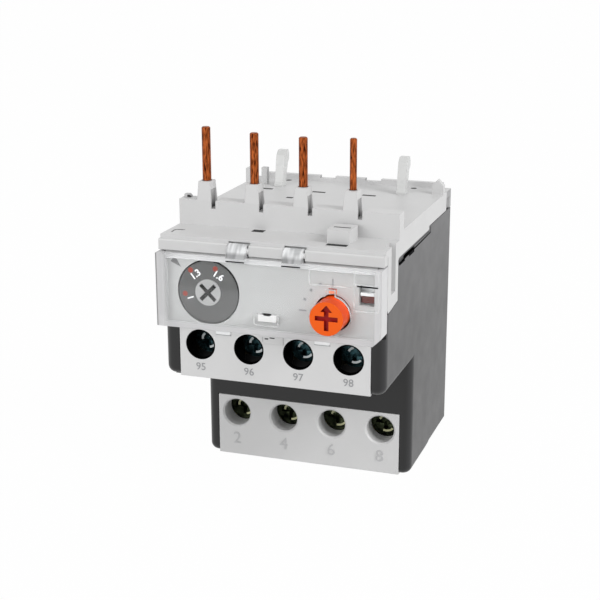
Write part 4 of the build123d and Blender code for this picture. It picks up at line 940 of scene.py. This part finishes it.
hole_rows = (
    # The aux lining is painted shade; the arcs of both rows are painted highlights.
    ("aux", "lining", 2.8 * mm, 3.06 * mm, upper_panel_y - 0.02 * mm, 1.0 * mm, deep_black, painted_zinc_glint),
    ("main", "sleeve", 3.17 * mm, 3.4 * mm, lower_panel_y + 1.98 * mm, 2.7 * mm, panel_plastic, painted_brass_glint),
)
glint_width = 64
for count in (1, 2, 3, 4):
    tilt = 9 * count
    for row, kind, inner, outer, front_y, depth, lining, glint in hole_rows:
        head_low, head_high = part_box(f"{row}_screw_{count}")
        hole_x = (head_low[0] + head_high[0]) / 2
        hole_z = (head_low[2] + head_high[2]) / 2
        head_radius = (head_high[0] - head_low[0]) / 2
        ring_piece(f"{row}_{kind}_{count}", hole_x, hole_z, inner, outer, front_y, depth, lining, "casing")
        for edge, (middle, size) in enumerate(((-75, 0.52), (130, 0.72)), start=1):
            arc = head_radius * size
            ring_piece(
                f"{row}_glint_{count}_{edge}", hole_x, hole_z, arc - 0.42 * mm, arc,
                head_low[1] - 0.06 * mm, 0.1 * mm, glint, f"{row}_screw_{count}",
                middle - glint_width / 2 + tilt, middle + glint_width / 2 + tilt, 12,
            )
print("hole pieces:", 24)

# %% [markdown]
# ## Terminal numbers
# Each terminal has a number moulded under its hole. The upper row is inked in grey. The lower
# row is raised in nearly the panel's own grey, so that it shows mostly by its shadow.

# %% Numbers under the terminals
upper_xs = [sum(corner[0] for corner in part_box(f"aux_screw_{count}")) / 2 for count in (1, 2, 3, 4)]
lower_xs = [sum(corner[0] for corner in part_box(f"main_screw_{count}")) / 2 for count in (1, 2, 3, 4)]
upper_row = ("upper", 27.0 * mm, 1.5 * mm, upper_panel_y - 0.06 * mm, 0.08 * mm, grey_ink_and_shade)
lower_row = ("lower", 3.6 * mm, 2.6 * mm, lower_panel_y - 0.12 * mm, 0.15 * mm, raised_ink)
for (row, z, height, front_y, depth, ink), middles, texts in (
    (upper_row, upper_xs, ("95", "96", "97", "98")),
    (lower_row, lower_xs, ("2", "4", "6", "8")),
):
    for count, (x, text) in enumerate(zip(middles, texts), start=1):
        printed_number(f"{row}_number_{count}", text, x, z, height, front_y, depth, ink, "casing")
print("terminal numbers:", len(upper_xs) + len(lower_xs))

# %% [markdown]
# ## Slots, holes and pockets of the top cover
# A slot in the light cover lies in shade and reads as a dark patch, so a sheet of painted shade
# is laid a few hundredths of a millimetre under the surface, inside the slot's own edges. A
# pocket in a tower's side gets less light the deeper it goes, so its back is painted with shade
# from light above to dark below.

# %% Painted shade in the slots
tray_level = 54.7 * mm
ledge_level = 53.3 * mm
block_top = 55.9 * mm


def plan_outline(x, y, width, depth):
    """A rectangle seen from above: middle and size in millimetres, points in metres."""
    half_x, half_y = width / 2, depth / 2
    return box_outline(x - half_x, x + half_x, y - half_y, y + half_y)


painted_slot_shades = (
    ("tray_slot_1", plan_outline(-15.6, 16.1, 2.96, 1.16), tray_level),
    ("tray_slot_2", plan_outline(-3.6, 16.1, 2.96, 1.16), tray_level),
    ("tray_slot_3", plan_outline(7.6, 16.1, 2.96, 1.16), tray_level),
    ("tray_slot_small", plan_outline(-7.7, 8.8, 1.46, 1.16), tray_level),
    ("ledge_window", plan_outline(-5.4, -16.1, 2.4, 1.9), ledge_level),
    ("block_slot", plan_outline(12.4, -18.6, 3.3, 0.6), block_top),
    ("block_foot_slot", plan_outline(12.4, -22.1, 4.0, 1.5), ledge_level),
    ("tray_hole_left", disc_outline(-14.1 * mm, 26.5 * mm, 0.66 * mm), tray_level),
    ("tray_hole_right", disc_outline(14.8 * mm, 26.5 * mm, 0.66 * mm), tray_level),
)
for name, outline, level in painted_slot_shades:
    moulding(f"{name}_floor", outline, level - 0.03 * mm, 0.1 * mm, painted_gap_shade, "casing", faces="top")
print("slot floors:", len(painted_slot_shades))

# %% Shaded pockets in the towers
pocket_shade, tree, shader, position = start_finish("pocket_shade")
height_share = span(tree, along(tree, position, "Z"), 0.0, 1.0, 56.7 * mm, 60.4 * mm)
pocket_tone = two_tone(tree, height_share, srgb(66, 66, 67), srgb(176, 176, 176))
colour_by(tree, shader, pocket_tone)
roughen(tree, shader, noise(tree, position, 1 * mm), 0.5, 0.7)
pin_names = ("line_pin_1", "line_pin_2", "line_pin_3", "coil_pin")
pocket_reach = 1.08 * mm
pocket_back = box_outline(-14.45, -11.95, 56.75, 60.35)
for name in pin_names:
    low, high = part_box(name)
    pocket_x = (low[0] + high[0]) / 2 + pocket_reach
    moulding(f"{name}_pocket", pocket_back, pocket_x, 0.06 * mm, pocket_shade, "casing", faces="right")
print("tower pockets:", len(pin_names))

# %% [markdown]
# ## The seam between cover and casing
# Along the sides the top cover and the casing meet in a stepped seam. Behind the first tab the
# gap opens to a wide black slot, and then it runs on as a thin black line to the rear step.
# In front of the slot the line is thin as well, and ends in a small step up. The black of the
# gap is painted shade, laid on each side as thin pieces.

# %% Painted shade of the seam on both sides
seam_shapes = (
    ("slot", ((-10.8, 48.6), (-3.9, 48.75), (-4.3, 49.55), (-10.9, 49.6))),
    ("line", ((-4.0, 48.7), (10.6, 48.95), (10.6, 49.2), (-4.0, 49.05))),
    ("end", ((10.5, 48.95), (10.8, 48.95), (10.8, 50.3), (10.5, 50.3))),
    ("front", ((-15.0, 48.45), (-10.8, 48.6), (-10.8, 48.9), (-15.0, 48.75))),
    ("step", ((-15.0, 48.75), (-14.75, 48.75), (-14.75, 49.85), (-15.0, 49.85))),
)
side_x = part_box("top_cover")[1][0]
for side, plane in (("right", side_x + 0.02 * mm), ("left", 0.01 * mm - side_x)):
    for name, points in seam_shapes:
        outline = in_metres(points)
        moulding(f"seam_{name}_{side}", outline, plane, 0.03 * mm, deep_black, "casing", faces="right")
print("seam pieces:", 2 * len(seam_shapes))

# %% [markdown]
# ## Small signs on the ledge and the cross wall
# A curved score on the ledge's left end shows where the cover bends round, and a small lip with
# a dark mouth stands at the left end of the cross wall. The score's line and the mouth are
# painted shade. Both are a millimetre or two long, but they break the plain surfaces the way the
# mould does.

# %% Score on the ledge and lip on the cross wall
score_outer = ((-21.2, -22.1), (-21.3, -20.6), (-20.9, -19.7), (-19.3, -19.5))
score_inner = ((-20.94, -22.1), (-21.04, -20.7), (-20.75, -19.93), (-19.3, -19.76))
score_outline = in_metres(score_outer + score_inner[::-1])
moulding("ledge_score", score_outline, ledge_level + 0.02 * mm, 0.05 * mm, shadow_grey, "casing", faces="top")
lip_y = -12.9 * mm
lip = in_metres(((-22.3, 58.2), (-20.9, 58.2), (-20.9, 58.5), (-21.3, 58.9), (-22.3, 58.9)))
mouth = in_metres(((-21.6, 58.25), (-20.85, 58.25), (-20.85, 58.5), (-21.2, 58.75), (-21.6, 58.75)))
moulding("cross_wall_lip", lip, lip_y, 1.2 * mm, cover_plastic, "casing", 0.12 * mm)
moulding("cross_wall_lip_mouth", mouth, lip_y - 0.05 * mm, 0.3 * mm, painted_gap_shade, "casing")
print("signs on the top cover:", 3)

# %% [markdown]
# ## The dial's shadow and the trip window
# The dial sits in a round recess, and the camera looks into the recess's upper right edge,
# which lies in shade, so a black crescent of painted shadow is laid there. The trip flag is the
# red-brown end of a white strip that rides on the contact carrier, so white shows above the flag
# while the relay is set. Each clip of the clear cover has a dark line of painted shadow at its
# foot.

# %% Crescent round the dial and the white strip behind the flag
dial_rim = 6.17 * mm
rim_steps = 48
widest_at = math.radians(30)
rim_turns = [2 * math.pi * step / rim_steps for step in range(rim_steps + 1)]
crescent = [at_turn(dial_x, dial_z, dial_rim, turn) for turn in rim_turns]
for turn in reversed(rim_turns):
    width = (0.04 + 0.34 * max(0.0, math.cos(turn - widest_at))) * mm
    crescent.append(at_turn(dial_x, dial_z, dial_rim + width, turn))
moulding("dial_shadow", crescent, fascia_y - ink_thickness, ink_thickness, deep_black, "casing")
strip = box_outline(17.8, 20.6, 44.72, 45.32)
strip_y = -24.5 * mm
strip_back = box_outline(17.65, 20.75, 42.5, 46.95)
strip_back_y = -22.96 * mm
moulding("flag_strip", strip, strip_y, 0.7 * mm, bar_plastic, "contact_carrier")
moulding("flag_strip_back", strip_back, strip_back_y, 0.2 * mm, bar_plastic, "contact_carrier")
for side, left in (("left", -8.0), ("right", 3.1)):
    shadow = box_outline(left, left + 3.7, 49.55, 49.8)
    moulding(f"clip_shadow_{side}", shadow, cover_y - 0.03 * mm, 0.06 * mm, painted_gap_shade, "clear_cover")
print("shadows and strips:", 5)

# %% [markdown]
# ## Dark rings round the pins
# Each pin comes out of its tower through a bore that is a little wider. From the camera the
# gap shows as a thin dark ring of shade, so a ring of painted shade is laid round the pin, on the tower.

# %% Rings round the pins
tower_top = 62.0 * mm
pin_y = -13.1 * mm
corners = 32
ring_profile = ((0.02, 0.0), (0.14, 0.0), (0.1, 0.04), (0.02, 0.04))
for name in pin_names:
    low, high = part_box(name)
    pin_x = (low[0] + high[0]) / 2
    pin_radius = (0.68 if name == "coil_pin" else 0.86) * mm
    ring = bmesh.new()
    loops = []
    for wider, height in ring_profile:
        circle = disc_outline(pin_x, pin_y, pin_radius + wider * mm, corners)
        loops.append([ring.verts.new((x, y, tower_top + height * mm)) for x, y in circle])
    for inner, outer in zip(loops, loops[1:] + loops[:1]):
        for step in range(corners):
            after = (step + 1) % corners
            ring.faces.new((inner[step], outer[step], outer[after], inner[after]))
    bmesh.ops.recalc_face_normals(ring, faces=ring.faces)
    ring_name = f"{name}_ring"
    piece = finished_piece(ring_name, mesh_of(ring_name, ring), painted_gap_shade)
    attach(piece, "casing")
print("pin rings:", 4)

# %% [markdown]
# ## Measure the growth of the box
# Decoration must not change the relay's size. The dressed scene's box is measured, and its
# growth over the CAD box is printed.

# %% Print the growth of the box
dressed_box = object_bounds()
growth = [round((abs(new - old)) / mm, 2) for pair in zip(dressed_box, cad_box) for new, old in zip(*pair)]
print("growth of the box in mm:", growth)
